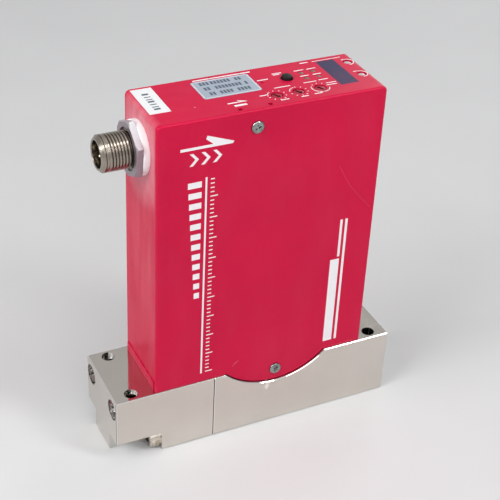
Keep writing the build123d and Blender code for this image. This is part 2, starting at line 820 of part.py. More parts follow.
for name, side in (("front_panel", 1), ("rear_panel", -1)):
    with BuildPart() as panel:
        with BuildSketch(side_plane(side, panel_back)) as outline:
            with Locations((lobe_x, lobe_centre_z)):
                Circle(lobe_radius)
            with Locations((lobe_x, body_height - lobe_radius)):
                Rectangle(4 * lobe_radius, 2 * lobe_radius, mode=Mode.INTERSECT)
            with Locations((cover_middle, body_height)):
                Rectangle(cover_length, cover_height, align=(Align.CENTER, Align.MIN))
            fillet(outline.vertices().group_by(Axis.Y)[-1], corner_radius)
        extrude(amount=side * panel_thickness)
        rim = panel.faces().sort_by(Axis.Y)[0 if side == 1 else -1].edges()
        fillet(rim.filter_by(lambda edge: edge.center().Z > body_height + edge_break), panel_edge_round)
        with BuildSketch(side_plane(side, panel_back)):
            with Locations((tab_x, upper_cover_screw_z), (lobe_x, lower_cover_screw_z)):
                Circle(cover_screw_d / 2 + screw_hole_gap)
        extrude(amount=side * panel_thickness, mode=Mode.SUBTRACT)
    keep(panel, name)

with BuildPart() as clinch_nuts:
    for side in (1, -1):
        with BuildSketch(side_plane(side, panel_back - sheet)):
            with Locations((tab_x, upper_cover_screw_z)):
                Circle(clinch_nut_d / 2)
                Circle(cover_screw_d / 2 + thread_gap, mode=Mode.SUBTRACT)
        extrude(amount=-side * clinch_nut_height)
keep(clinch_nuts, "clinch_nuts")

cover_screws = {
    "front_upper_screw": (1, tab_x, upper_cover_screw_z),
    "front_lower_screw": (1, lobe_x, lower_cover_screw_z),
    "rear_upper_screw": (-1, tab_x, upper_cover_screw_z),
    "rear_lower_screw": (-1, lobe_x, lower_cover_screw_z),
}
for name, (side, x, z) in cover_screws.items():
    seat = Plane(origin=(x, -side * panel_face, z), x_dir=(1, 0, 0), z_dir=(0, -side, 0))
    with BuildPart(seat) as cover_screw:
        Cylinder(cover_head_d / 2, cover_head_height, align=(Align.CENTER, Align.CENTER, Align.MIN))
        crown = cover_screw.faces().sort_by(Axis.Y)[0 if side == 1 else -1].edges()
        chamfer(crown, cover_head_height / 2, cover_head_height)
        Cylinder(cover_screw_d / 2, cover_screw_length, align=(Align.CENTER, Align.CENTER, Align.MAX))
        with Locations((0, 0, cover_head_height)):
            Box(cross_span, cross_width, 2 * cross_depth, mode=Mode.SUBTRACT)
            Box(cross_width, cross_span, 2 * cross_depth, mode=Mode.SUBTRACT)
    keep(cover_screw, name)

# ---------------------------------------------------------------- connector

connector_base = Plane(origin=(cover_left, 0, connector_z), x_dir=(0, -1, 0), z_dir=(-1, 0, 0))
connector_profile = Plane(origin=(cover_left, 0, connector_z), x_dir=(0, 0, 1), z_dir=(0, -1, 0))
connector_axis = Axis((cover_left, 0, connector_z), (-1, 0, 0))
hex_top = washer_thickness + connector_hex_thickness
hex_corner_r = connector_hex_flats / 3 ** 0.5

with BuildPart() as connector_washer:
    with BuildSketch(connector_base):
        Circle(washer_d / 2)
        Circle(shank_d / 2 + fit_gap, mode=Mode.SUBTRACT)
    extrude(amount=washer_thickness)
    chamfer(connector_washer.edges().group_by(Axis.X)[0].sort_by(SortBy.LENGTH)[-1], edge_break)
keep(connector_washer, "connector_washer")

cup_floor = connector_reach - cup_depth
with BuildPart() as connector_shell:
    with BuildSketch(connector_base.offset(washer_thickness)):
        RegularPolygon(connector_hex_flats / 2, 6, major_radius=False, rotation=connector_hex_turn)
    extrude(amount=connector_hex_thickness)
    # corners of the hexagon are turned back to a cone
    with BuildSketch(connector_profile):
        with BuildLine():
            Polyline(
                (0, washer_thickness),
                (hex_corner_r, washer_thickness),
                (hex_corner_r, hex_top - hex_chamfer),
                (hex_corner_r - 2 * hex_chamfer, hex_top),
                (0, hex_top),
                close=True)
        make_face()
    revolve(axis=connector_axis, mode=Mode.INTERSECT)
    with BuildSketch(connector_base.offset(hex_top - root_groove_depth)):
        Circle(connector_thread_d / 2 + root_groove_width)
    extrude(amount=root_groove_depth, mode=Mode.SUBTRACT)
    # barrel in front and threaded shank behind
    with BuildSketch(connector_profile):
        with BuildLine():
            Polyline(
                (0, -shank_length),
                (shank_d / 2 - edge_break, -shank_length),
                (shank_d / 2, edge_break - shank_length),
                (shank_d / 2, washer_thickness),
                (connector_thread_d / 2, washer_thickness),
                (connector_thread_d / 2, connector_reach - mouth_chamfer),
                (connector_thread_d / 2 - mouth_chamfer, connector_reach),
                (0, connector_reach),
                close=True)
        make_face()
    revolve(axis=connector_axis)
    with BuildSketch(connector_base.offset(cup_floor)):
        Circle(cup_d / 2)
    extrude(amount=cup_depth, mode=Mode.SUBTRACT)
    with BuildSketch(connector_base.offset(-shank_length)):
        Circle(insert_d / 2 + fit_gap)
    extrude(amount=shank_length + cup_floor, mode=Mode.SUBTRACT)
keep(connector_shell, "connector_shell")

with BuildPart() as pin_layout:
    with BuildSketch(connector_base.offset(-shank_length - insert_tail)) as pin_circles:
        Circle(pin_d / 2)
        with PolarLocations(pin_circle_d / 2, 4, start_angle=45):
            Circle(pin_d / 2)
    extrude(amount=shank_length + insert_tail + cup_floor + pin_proud)
    extrude(pin_circles.sketch, amount=-pin_tail)
    chamfer(pin_layout.faces().sort_by(Axis.X)[:5].edges(), pin_d / 4)
keep(pin_layout, "connector_pins")

with BuildPart() as connector_insert:
    with BuildSketch(connector_base.offset(-shank_length - insert_tail)):
        Circle(insert_d / 2)
    extrude(amount=shank_length + insert_tail + cup_floor)
    # coding key along the wall of the cup
    with BuildSketch(connector_base.offset(cup_floor)):
        with Locations((0, cup_d / 2 - fit_gap)):
            Rectangle(key_width, key_height, align=(Align.CENTER, Align.MAX))
        Circle(cup_d / 2 - fit_gap, mode=Mode.INTERSECT)
    extrude(amount=key_length)
    with BuildSketch(connector_base.offset(-shank_length - insert_tail)):
        Circle(pin_d / 2)
        with PolarLocations(pin_circle_d / 2, 4, start_angle=45):
            Circle(pin_d / 2)
    extrude(amount=shank_length + insert_tail + cup_floor, mode=Mode.SUBTRACT)
keep(connector_insert, "connector_insert")

with BuildPart() as connector_lock_nut:
    with BuildSketch(connector_base.offset(-sheet)):
        RegularPolygon(lock_nut_flats / 2, 6, major_radius=False)
        Circle(shank_d / 2 + fit_gap, mode=Mode.SUBTRACT)
    extrude(amount=-lock_nut_thickness)
keep(connector_lock_nut, "connector_lock_nut")

with BuildPart() as connector_board:
    with BuildSketch(connector_base.offset(-shank_length - insert_tail)):
        with Locations((connector_board_front, 0)):
            Rectangle(connector_board_front + board_front, connector_board_height,
                      align=(Align.MAX, Align.CENTER))
        Circle(pin_d / 2, mode=Mode.SUBTRACT)
        with PolarLocations(pin_circle_d / 2, 4, start_angle=45):
            Circle(pin_d / 2, mode=Mode.SUBTRACT)
    extrude(amount=-connector_board_thickness)
keep(connector_board, "connector_board")

# ---------------------------------------------------------------- controls on the top


def add_push_button(place, d, top, switch_top, travel):
    """A round button with a collar that keeps it under the top, in the open part."""
    foot = switch_top + travel + stop_gap
    with Locations((*place, foot)):
        Cylinder(d / 2, top - foot, align=(Align.CENTER, Align.CENTER, Align.MIN))
    with Locations((*place, top_underside - stop_gap)):
        Cylinder(d / 2 + collar_width, collar_height, align=(Align.CENTER, Align.CENTER, Align.MAX))


with BuildPart() as zero_button:
    add_push_button(zero_button_at, zero_button_d, cover_top + zero_button_proud,
                    display_top + switch_height, zero_button_travel)
    chamfer(zero_button.faces().sort_by(Axis.Z)[-1].edges(), edge_break)
keep(zero_button, "zero_button")

with BuildPart() as zero_switch:
    with BuildSketch(Plane.XY.offset(display_top)):
        with Locations(zero_button_at):
            Rectangle(switch_size, switch_size)
    extrude(amount=switch_height)
keep(zero_switch, "zero_switch")

for name, place in zip(("display_button_rear", "display_button_front"), small_buttons_at):
    with BuildPart() as small_button:
        add_push_button(place, small_button_d, cover_top - small_button_sink,
                        display_top + switch_height, small_button_travel)
        chamfer(small_button.faces().sort_by(Axis.Z)[-1].edges(), edge_break)
    keep(small_button, name)

with BuildPart() as display_switches:
    with BuildSketch(Plane.XY.offset(display_top)):
        with Locations(*small_buttons_at):
            Rectangle(small_switch_size, switch_size)
    extrude(amount=switch_height)
keep(display_switches, "display_switches")

dial_floor = display_top + dial_body_height - dial_bore_depth
with BuildPart() as dial_bodies:
    with BuildSketch(Plane.XY.offset(display_top)):
        with Locations(*dials_at):
            Rectangle(dial_body_size, dial_body_size)
    extrude(amount=dial_body_height)
    with BuildSketch(Plane.XY.offset(dial_floor)):
        with Locations(*dials_at):
            Circle(dial_d / 2 + running_gap)
    extrude(amount=dial_bore_depth, mode=Mode.SUBTRACT)
keep(dial_bodies, "dial_bodies")

dial_top = cover_top - dial_sink
for number, place in enumerate(dials_at, start=1):
    with BuildPart() as dial:
        with BuildSketch(Plane.XY.offset(dial_floor + running_gap)):
            with Locations(place):
                Circle(dial_d / 2)
        extrude(amount=dial_top - dial_floor - running_gap)
        with BuildSketch(Plane.XY.offset(dial_top)):
            with Locations(place):
                SlotOverall(dial_slot_length, dial_slot_width, rotation=dial_slot_turn)
        extrude(amount=-dial_slot_depth, mode=Mode.SUBTRACT)
    keep(dial, f"dial_{number}")

for number, place in enumerate(lenses_at, start=1):
    with BuildPart() as lens:
        with BuildSketch(Plane.XY.offset(display_top + led_height)):
            with Locations(place):
                Circle(lens_d / 2)
        extrude(amount=cover_top - display_top - led_height)
    keep(lens, f"status_lens_{number}")

with BuildPart() as status_leds:
    with BuildSketch(Plane.XY.offset(display_top)):
        with Locations(*lenses_at):
            Rectangle(lens_d, lens_d)
    extrude(amount=led_height)
keep(status_leds, "status_leds")

with BuildPart() as display_window:
    with BuildSketch(Plane.XY.offset(cover_top)):
        with Locations(window_at):
            Rectangle(window_length, window_width)
    extrude(amount=-sheet)
    with BuildSketch(Plane.XY.offset(top_underside)):
        with Locations(window_at):
            Rectangle(window_length + 2 * window_flange, window_width + 2 * window_flange)
    extrude(amount=-window_flange_height)
keep(display_window, "display_window")

with BuildPart() as display_module:
    with BuildSketch(Plane.XY.offset(display_top)):
        with Locations(window_at):
            Rectangle(window_length, window_width)
    extrude(amount=module_height)
keep(display_module, "display_module")

# ---------------------------------------------------------------- labels

with BuildPart() as rating_label:
    with BuildSketch(Plane.XY.offset(cover_top)):
        with Locations((cover_right - rating_label_from_end, rating_label_y)):
            RectangleRounded(rating_label_length, rating_label_width, rating_label_round)
    extrude(amount=label_thickness)
keep(rating_label, "rating_label")

with BuildPart() as serial_label:
    with BuildSketch(Plane.XY.offset(cover_top)):
        with Locations((cover_left + serial_label_from_start, serial_label_y)):
            Rectangle(serial_label_length, serial_label_width)
    extrude(amount=label_thickness)
keep(serial_label, "serial_label")
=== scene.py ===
import json
import math

import bmesh
import bpy
from mathutils import Matrix, Vector


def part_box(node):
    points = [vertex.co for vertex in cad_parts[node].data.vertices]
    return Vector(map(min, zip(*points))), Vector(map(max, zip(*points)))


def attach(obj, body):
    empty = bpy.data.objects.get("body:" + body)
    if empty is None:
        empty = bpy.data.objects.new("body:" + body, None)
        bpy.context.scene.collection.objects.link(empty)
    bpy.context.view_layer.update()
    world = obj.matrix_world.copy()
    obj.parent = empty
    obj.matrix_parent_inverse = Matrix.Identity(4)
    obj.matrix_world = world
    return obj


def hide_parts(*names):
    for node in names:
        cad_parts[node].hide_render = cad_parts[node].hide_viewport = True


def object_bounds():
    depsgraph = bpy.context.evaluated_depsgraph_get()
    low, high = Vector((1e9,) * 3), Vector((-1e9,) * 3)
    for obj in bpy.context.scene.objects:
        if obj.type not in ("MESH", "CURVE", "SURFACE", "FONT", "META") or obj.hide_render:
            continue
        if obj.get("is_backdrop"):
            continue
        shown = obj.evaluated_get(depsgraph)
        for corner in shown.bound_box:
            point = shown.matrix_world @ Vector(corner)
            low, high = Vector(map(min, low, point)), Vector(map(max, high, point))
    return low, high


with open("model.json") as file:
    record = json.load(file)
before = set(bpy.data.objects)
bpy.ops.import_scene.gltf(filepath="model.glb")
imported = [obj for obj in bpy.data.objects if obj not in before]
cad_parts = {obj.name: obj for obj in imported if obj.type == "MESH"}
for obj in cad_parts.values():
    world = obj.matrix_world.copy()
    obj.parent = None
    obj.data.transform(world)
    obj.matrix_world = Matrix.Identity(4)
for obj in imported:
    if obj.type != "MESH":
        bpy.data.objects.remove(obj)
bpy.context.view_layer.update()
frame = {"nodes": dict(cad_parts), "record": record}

# Looks of the gas flow controller. Sizes in the dictionaries are millimetres, and mm turns them to metres.
mm = 0.001
nodes = frame["nodes"]
mainBody = "controller"
fullTurn = 2 * math.pi


# Lowest and highest corner of a frame part, in millimetres
def boxMm(node):
    low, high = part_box(node)
    return low / mm, high / mm


# Middle of a frame part, in millimetres
def middleOf(node):
    low, high = boxMm(node)
    return [(a + b) / 2 for a, b in zip(low, high)]


bodyLow, bodyHigh = boxMm("inlet_block")[0], boxMm("main_block")[1]
shellLow, shellHigh = boxMm("connector_shell")
panelFace = boxMm("front_panel")[0].y                # the front face looks along -Y
coverLeft = boxMm("front_panel")[0].x
coverTop = boxMm("cover_wrap")[1].z
dialTop = boxMm("dial_1")[1].z
connectorAxisZ = (shellLow.z + shellHigh.z) / 2
connectorMouthX = shellLow.x

# Small helpers


# New object from points in millimetres, smooth except at edges sharper than the angle
def addMesh(name, verts, faces, material=None, sharp=30):
    mesh = bpy.data.meshes.new(name)
    mesh.from_pydata([Vector(v) * mm for v in verts], [], faces)
    return addObject(name, mesh, material, sharp)


# New object from a mesh, with doubled points merged and its faces turned outward
def addObject(name, mesh, material, sharp):
    mesh.name = name
    work = bmesh.new()
    work.from_mesh(mesh)
    bmesh.ops.remove_doubles(work, verts=work.verts, dist=1e-7)
    bmesh.ops.recalc_face_normals(work, faces=work.faces)
    work.to_mesh(mesh)
    work.free()
    mesh.polygons.foreach_set("use_smooth", [True] * len(mesh.polygons))
    mesh.set_sharp_from_angle(angle=math.radians(sharp))
    obj = bpy.data.objects.new(name, mesh)
    bpy.context.scene.collection.objects.link(obj)
    if material:
        mesh.materials.clear()
        mesh.materials.append(material)
    return obj


# Plain mesh of an object with its modifiers applied; the object itself goes away
def toMesh(obj, name, material, sharp=30):
    deps = bpy.context.evaluated_depsgraph_get()
    mesh = bpy.data.meshes.new_from_object(obj.evaluated_get(deps))
    bpy.data.objects.remove(obj)
    return addObject(name, mesh, material, sharp)


# The object with the cutters taken out of it, as a plain mesh; the cutters go away too
def carved(obj, cutters, name, material=None):
    for cutter in cutters:
        cut = obj.modifiers.new("cut", "BOOLEAN")
        cut.operation = "DIFFERENCE"
        cut.solver = "EXACT"
        cut.object = cutter
    piece = toMesh(obj, name, material)
    for cutter in cutters:
        bpy.data.objects.remove(cutter)
    return piece


# One mesh object out of several
def joined(name, objs, material, sharp=30):
    work = bmesh.new()
    for obj in objs:
        work.from_mesh(obj.data)
        bpy.data.objects.remove(obj)
    mesh = bpy.data.meshes.new(name)
    work.to_mesh(mesh)
    work.free()
    mesh.materials.clear()
    return addObject(name, mesh, material, sharp)


# Matrix in millimetres that stands a piece made along +Z on a seat of the frame
def standAt(origin, zAxis, xAxis):
    z = Vector(zAxis).normalized()
    x = Vector(xAxis).normalized()
    stand = Matrix((x, z.cross(x), z)).transposed().to_4x4()
    stand.translation = Vector(origin)
    return stand


def moved(verts, stand):
    return [stand @ Vector(v) for v in verts]


def onCircle(radius, turn):
    return radius * math.cos(turn), radius * math.sin(turn)


# Side faces between rings of points, each ring a list of point numbers
def ringFaces(rings, steps):
    faces = []
    for low, high in zip(rings, rings[1:]):
        for step in range(steps):
            after = (step + 1) % steps
            face = list(dict.fromkeys([low[step], low[after], high[after], high[step]]))
            if len(face) > 2:
                faces.append(face)
    return faces


# Piece of a profile of (radius, height) turned about Z, closed on the axis
def turnedPiece(name, profile, steps, material=None, stand=Matrix(), sharp=30):
    verts = []
    rings = []
    for radius, height in profile:
        count = 1 if radius < 1e-6 else steps
        rings.append([len(verts) + step % count for step in range(steps)])
        verts += [(*onCircle(radius, fullTurn * step / steps), height) for step in range(count)]
    return addMesh(name, moved(verts, stand), ringFaces(rings, steps), material, sharp)


# Profile points of an outer corner rounded by bend, from the side up to the flat top
def roundCorner(radius, height, bend, steps=5):
    points = []
    for step in range(steps + 1):
        turn = math.pi / 2 * step / steps
        points.append((radius - bend + bend * math.cos(turn), height - bend + bend * math.sin(turn)))
    return points


# Closed prism of an outline of (x, y) points, between two heights
def prism(outline, foot, top):
    count = len(outline)
    verts = [(x, y, z) for z in (foot, top) for x, y in outline]
    faces = [list(range(count))[::-1], list(range(count, 2 * count))]
    faces += [[i, (i + 1) % count, count + (i + 1) % count, count + i] for i in range(count)]
    return verts, faces


# Lets a finished piece ride, and hides the parts it replaces
def finishPiece(obj, body, slot, *replaced):
    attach(obj, body)
    if replaced:
        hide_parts(*replaced)


# Node trees


# Links a socket, or sets a value, to an input
def feed(tree, entry, value):
    if isinstance(value, bpy.types.NodeSocket):
        tree.links.new(value, entry)
    else:
        entry.default_value = value


# A node tree with short ways to add nodes
class Graph:
    def __init__(self, tree):
        self.tree = tree

    def node(self, kind, inputs=None, **settings):
        node = self.tree.nodes.new(kind)
        for key, value in settings.items():
            setattr(node, key, value)
        for key, value in (inputs or {}).items():
            feed(self.tree, node.inputs[key], value)
        return node

    def math(self, operation, *values):
        return self.node("ShaderNodeMath", dict(enumerate(values)), operation=operation).outputs[0]

    # Several numbers taken together, one after the other
    def fold(self, operation, first, *others):
        for other in others:
            first = self.math(operation, first, other)
        return first

    def add(self, *values):
        return self.fold("ADD", *values)

    def minus(self, first, second):
        return self.math("SUBTRACT", first, second)

    def times(self, *values):
        return self.fold("MULTIPLY", *values)

    def least(self, *values):
        return self.fold("MINIMUM", *values)

    def most(self, *values):
        return self.fold("MAXIMUM", *values)

    def absolute(self, value):
        return self.math("ABSOLUTE", value)

    # A vector's three numbers
    def parts(self, vector):
        return self.node("ShaderNodeSeparateXYZ", {0: vector}).outputs

    def vector(self, x=0.0, y=0.0, z=0.0):
        return self.node("ShaderNodeCombineXYZ", {0: x, 1: y, 2: z}).outputs[0]

    # Point on a circle about Z
    def around(self, turn, radius, z=0.0):
        return self.vector(self.times(self.math("COSINE", turn), radius),
                           self.times(self.math("SINE", turn), radius), z)

    def length(self, vector):
        return self.node("ShaderNodeVectorMath", {0: vector}, operation="LENGTH").outputs["Value"]

    # Maps a factor from low..high to lowValue..highValue, clamped
    def ramp(self, factor, low, high, lowValue=0.0, highValue=1.0):
        return self.node("ShaderNodeMapRange", {
            "From Min": low, "From Max": high, "To Min": lowValue, "To Max": highValue,
            "Value": factor}).outputs["Result"]


socketKinds = {int: "Int", float: "Float", tuple: "Vector", type(None): "Object"}


# Geometry tree with a named input for each size, and one for the material
class GeometryGraph(Graph):
    def __init__(self, name, inputs):
        super().__init__(bpy.data.node_groups.new(name, "GeometryNodeTree"))
        sockets = self.tree.interface
        sockets.new_socket("Geometry", in_out="INPUT", socket_type="NodeSocketGeometry")
        for label, value in inputs.items():
            kind = "NodeSocket" + socketKinds[type(value)]
            entry = sockets.new_socket(label, in_out="INPUT", socket_type=kind)
            if value is not None:
                entry.default_value = value
        sockets.new_socket("Material", in_out="INPUT", socket_type="NodeSocketMaterial")
        sockets.new_socket("Geometry", in_out="OUTPUT", socket_type="NodeSocketGeometry")
        self.given = self.tree.nodes.new("NodeGroupInput").outputs

    def instances(self, points, shape, **inputs):
        entries = {"Points": points, "Instance": shape, **inputs}
        return self.node("GeometryNodeInstanceOnPoints", entries).outputs[0]

    def place(self, geometry, **inputs):
        return self.node("GeometryNodeSetPosition", {"Geometry": geometry, **inputs}).outputs[0]

    def index(self):
        return self.node("GeometryNodeInputIndex").outputs[0]

    # Ends the tree in Realize Instances and Set Material
    def close(self, geometry):
        real = self.node("GeometryNodeRealizeInstances", {0: geometry}).outputs[0]
        dress = self.node("GeometryNodeSetMaterial", {"Geometry": real, "Material": self.given["Material"]})
        self.node("NodeGroupOutput", {0: dress.outputs[0]})
        return self.tree


# Runs a tree with these input values and returns its result as a plain mesh object
def growTree(tree, name, values, material, startMesh=None, sharp=30):
    start = bpy.data.objects.new(name + "Start", startMesh or bpy.data.meshes.new(name + "Start"))
    bpy.context.scene.collection.objects.link(start)
    modifier = start.modifiers.new("grow", "NODES")
    modifier.node_group = tree
    values = {**values, "Material": material}
    for item in tree.interface.items_tree:
        if item.in_out == "INPUT" and item.name in values:
            modifier[item.identifier] = values[item.name]
    return toMesh(start, name, material, sharp)


# Copies of one object on points, each turned by the points' own turn attribute
def copiesTree():
    tree = GeometryGraph("copiesOnPoints", {"Master": None})
    master = tree.node("GeometryNodeObjectInfo", {"Object": tree.given["Master"]})
    turn = tree.node("GeometryNodeInputNamedAttribute", {"Name": "turn"}, data_type="FLOAT_VECTOR")
    return tree.close(tree.instances(tree.given["Geometry"], master.outputs["Geometry"],
                                     Rotation=turn.outputs["Attribute"]))


# A row of flat ticks, every nth of them longer, for printed scales
def ticksTree():
    tree = GeometryGraph("tickRow", {
        "Count": 10, "Start": (0.0, 0.0, 0.0), "Step": (0.0, 0.0, 0.001), "Size": (0.002, 0.0001, 0.0004),
        "Long every": 5, "Long stretch": 2.0, "Slide": -0.5})
    given = tree.given
    line = tree.node("GeometryNodeMeshLine", {
        "Count": given["Count"], "Start Location": given["Start"], "Offset": given["Step"]}, mode="OFFSET")
    tick = tree.node("GeometryNodeMeshCube", {"Size": given["Size"]}).outputs["Mesh"]
    rest = tree.math("MODULO", tree.index(), given["Long every"])
    extra = tree.times(tree.math("LESS_THAN", rest, 0.5), tree.minus(given["Long stretch"], 1.0))
    # longer ticks grow to one side only
    slide = tree.times(extra, tree.parts(given["Size"])[0], given["Slide"])
    points = tree.place(line.outputs[0], Offset=tree.vector(slide))
    return tree.close(tree.instances(points, tick, Scale=tree.vector(tree.add(extra, 1.0), 1.0, 1.0)))


# Blocks set out on a circle, each turned to face the centre, for dial scales and knurls
def ringTree():
    tree = GeometryGraph("marksOnRing", {
        "Count": 12, "Radius": 0.003, "From": 0.0, "Sweep": 6.2832, "Centre": (0.0, 0.0, 0.0),
        "Size": (0.0004, 0.0004, 0.0001)})
    given = tree.given
    line = tree.node("GeometryNodeMeshLine", {"Count": given["Count"]}, mode="OFFSET").outputs[0]
    share = tree.math("DIVIDE", tree.index(), given["Count"])
    turn = tree.math("MULTIPLY_ADD", share, given["Sweep"], given["From"])
    spot = tree.node("ShaderNodeVectorMath", {0: tree.around(turn, given["Radius"]), 1: given["Centre"]},
                     operation="ADD").outputs[0]
    block = tree.node("GeometryNodeMeshCube", {"Size": given["Size"]}).outputs["Mesh"]
    return tree.close(tree.instances(tree.place(line, Position=spot), block, Rotation=tree.vector(z=turn)))


# A helical thread round +Z: a grid rolled up so that its rows run along the helix, cut flat at both ends
def threadTree():
    tree = GeometryGraph("screwThread", {
        "Turn steps": 64, "Height steps": 90, "Span": 0.01, "Length": 0.009, "Pitch": 0.001, "Radius": 0.006,
        "Depth": 0.0005, "Crest": 0.3, "Root": 0.12, "Run out": 0.0006, "Base": 0.0})
    given = tree.given
    grid = tree.node("GeometryNodeMeshGrid", {
        "Size X": 1.0, "Size Y": 1.0, "Vertices X": tree.add(given["Turn steps"], 1),
        "Vertices Y": tree.add(given["Height steps"], 1)}).outputs["Mesh"]
    x, y, z = tree.parts(tree.node("GeometryNodeInputPosition").outputs[0])
    share = tree.add(x, 0.5)
    climb = tree.times(tree.add(y, 0.5), given["Span"])
    lead = tree.times(tree.minus(share, 1.0), given["Pitch"])
    height = tree.least(tree.most(tree.add(climb, lead), 0.0), given["Length"])
    # pingpong gives the flanks, clamped for the flats at crest and root
    flank = tree.times(tree.math("PINGPONG", tree.math("DIVIDE", climb, given["Pitch"]), 0.5), 2.0)
    slope = tree.minus(1.0, tree.add(given["Crest"], given["Root"]))
    form = tree.math("DIVIDE", tree.minus(flank, given["Crest"]), slope)
    form = tree.least(tree.most(form, 0.0), 1.0)
    fadeIn = tree.math("DIVIDE", height, given["Run out"])
    fadeOut = tree.math("DIVIDE", tree.minus(given["Length"], height), given["Run out"])
    fade = tree.most(tree.least(fadeIn, fadeOut, 1.0), 0.0)
    radius = tree.minus(given["Radius"], tree.times(form, fade, given["Depth"]))
    turn = tree.times(share, fullTurn)
    spot = tree.around(turn, radius, tree.add(height, given["Base"]))
    return tree.close(tree.place(grid, Position=spot))


copiesOnPoints = copiesTree()
tickRow = ticksTree()
marksOnRing = ringTree()
screwThread = threadTree()


# One mesh of copies of the master, one on each stand; the master goes away
def copyOnto(name, master, stands, material, sharp=30):
    points = bpy.data.meshes.new(name + "Points")
    points.from_pydata([stand.translation * mm for stand in stands], [], [])
    turns = points.attributes.new("turn", "FLOAT_VECTOR", "POINT")
    turns.data.foreach_set("vector", [angle for stand in stands for angle in stand.to_euler()])
    copied = growTree(copiesOnPoints, name, {"Master": master}, material, points, sharp)
    bpy.data.objects.remove(master)
    return copied


print("helpers and node trees ready")

# Materials


# Material with a Principled shader; its patterns lie in the piece's own coordinates
class Finish(Graph):
    def __init__(self, name, color, roughness, metallic=0.0):
        self.material = bpy.data.materials.new(name)
        self.material.use_nodes = True
        super().__init__(self.material.node_tree)
        self.shader = self.tree.nodes["Principled BSDF"]
        self.put("Base Color", (*color, 1))
        self.put("Roughness", roughness)
        self.put("Metallic", metallic)
        where = self.node("ShaderNodeTexCoord").outputs
        self.coords = where["Object"]
        self.facing = where["Normal"]

    def put(self, label, value):
        feed(self.tree, self.shader.inputs[label], value)

    # Coordinates in millimetres, stretched and turned for one pattern
    def stretched(self, scale, turn=(0, 0, 0), shift=(0, 0, 0)):
        return self.node("ShaderNodeMapping", {
            "Scale": [1 / (mm * size) for size in scale], "Rotation": turn, "Location": shift,
            0: self.coords}).outputs[0]

    # One coordinate of the piece in millimetres: 0 for X, 1 for Y, 2 for Z
    def along(self, axis):
        return self.times(self.parts(self.coords)[axis], 1 / mm)

    def noiseAt(self, vector, detail, rough=0.5):
        return self.node("ShaderNodeTexNoise", {
            "Scale": 1.0, "Detail": detail, "Roughness": rough, "Vector": vector}).outputs["Fac"]

    # Noise with features of about that size in millimetres; size may be one number or three
    def noise(self, size, detail, rough=0.5):
        sizes = (size, size, size) if isinstance(size, (int, float)) else size
        return self.noiseAt(self.stretched(sizes), detail, rough)

    # Patches of noise, ramped
    def patches(self, size, detail, low, high, lowValue=0.0, highValue=1.0, rough=0.5):
        return self.ramp(self.noise(size, detail, rough), low, high, lowValue, highValue)

    def blend(self, factor, first, second):
        first, second = ((*value, 1) if isinstance(value, tuple) else value for value in (first, second))
        return self.node("ShaderNodeMix", {6: first, 7: second, 0: factor}, data_type="RGBA").outputs[2]

    # Bump of that depth in millimetres, stacked on the shader's present normal
    def bump(self, height, depth, strength):
        inputs = {"Distance": depth * mm, "Strength": strength, "Height": height}
        if self.shader.inputs["Normal"].links:
            inputs["Normal"] = self.shader.inputs["Normal"].links[0].from_socket
        self.put("Normal", self.node("ShaderNodeBump", inputs).outputs[0])

    # Thin straight marks along one direction: 1 on a mark, 0 elsewhere
    def scratches(self, length, width, turn, amount):
        marks = self.noiseAt(self.stretched((length, width, width), turn), 1.0)
        return self.ramp(marks, 1 - amount, 1 - amount + 0.05)

    # Distance in millimetres from the connector's axis, which runs along X
    def fromConnectorAxis(self):
        x, y, z = self.parts(self.coords)
        across = self.math("MULTIPLY_ADD", y, 1 / mm, 0)
        up = self.math("MULTIPLY_ADD", z, 1 / mm, -connectorAxisZ)
        return self.math("SQRT", self.add(self.math("POWER", across, 2.0), self.math("POWER", up, 2.0)))

    # 1 on faces that lean at 45 degrees between two axes, such as ground chamfers, and 0 elsewhere;
    # also how much each face looks along Y
    def chamferMask(self):
        shares = [self.absolute(part) for part in self.parts(self.facing)]
        lean = self.absolute(self.minus(self.most(*shares), math.sqrt(0.5)))
        return self.ramp(lean, 0.01, 0.03, 1.0, 0.0), shares[1]


paint = {
    "color": (0.565, 0.0028, 0.046), "deepColor": (0.515, 0.0028, 0.043), "glareColor": (0.66, 0.13, 0.18),
    "scratchColor": (0.70, 0.20, 0.27), "scratchShare": 0.3, "roughness": 0.34, "gloss": 0.16,
    "scratches": ((11, 0.07, (0, 0.6, 0)), (8, 0.06, (0, -0.9, 0.3))),
    "cloudSize": 26, "glareWipeSize": (9, 3.6, 30), "wipeDullness": 0.2, "sheenSize": 14,
    "peelSize": 0.9, "peelDepth": 0.006, "grainSize": 0.16, "grainDepth": 0.0012,
    "connectorGlowColor": (0.80, 0.36, 0.42), "connectorGlowFrom": 9.0, "connectorGlowTo": 21.0,
}
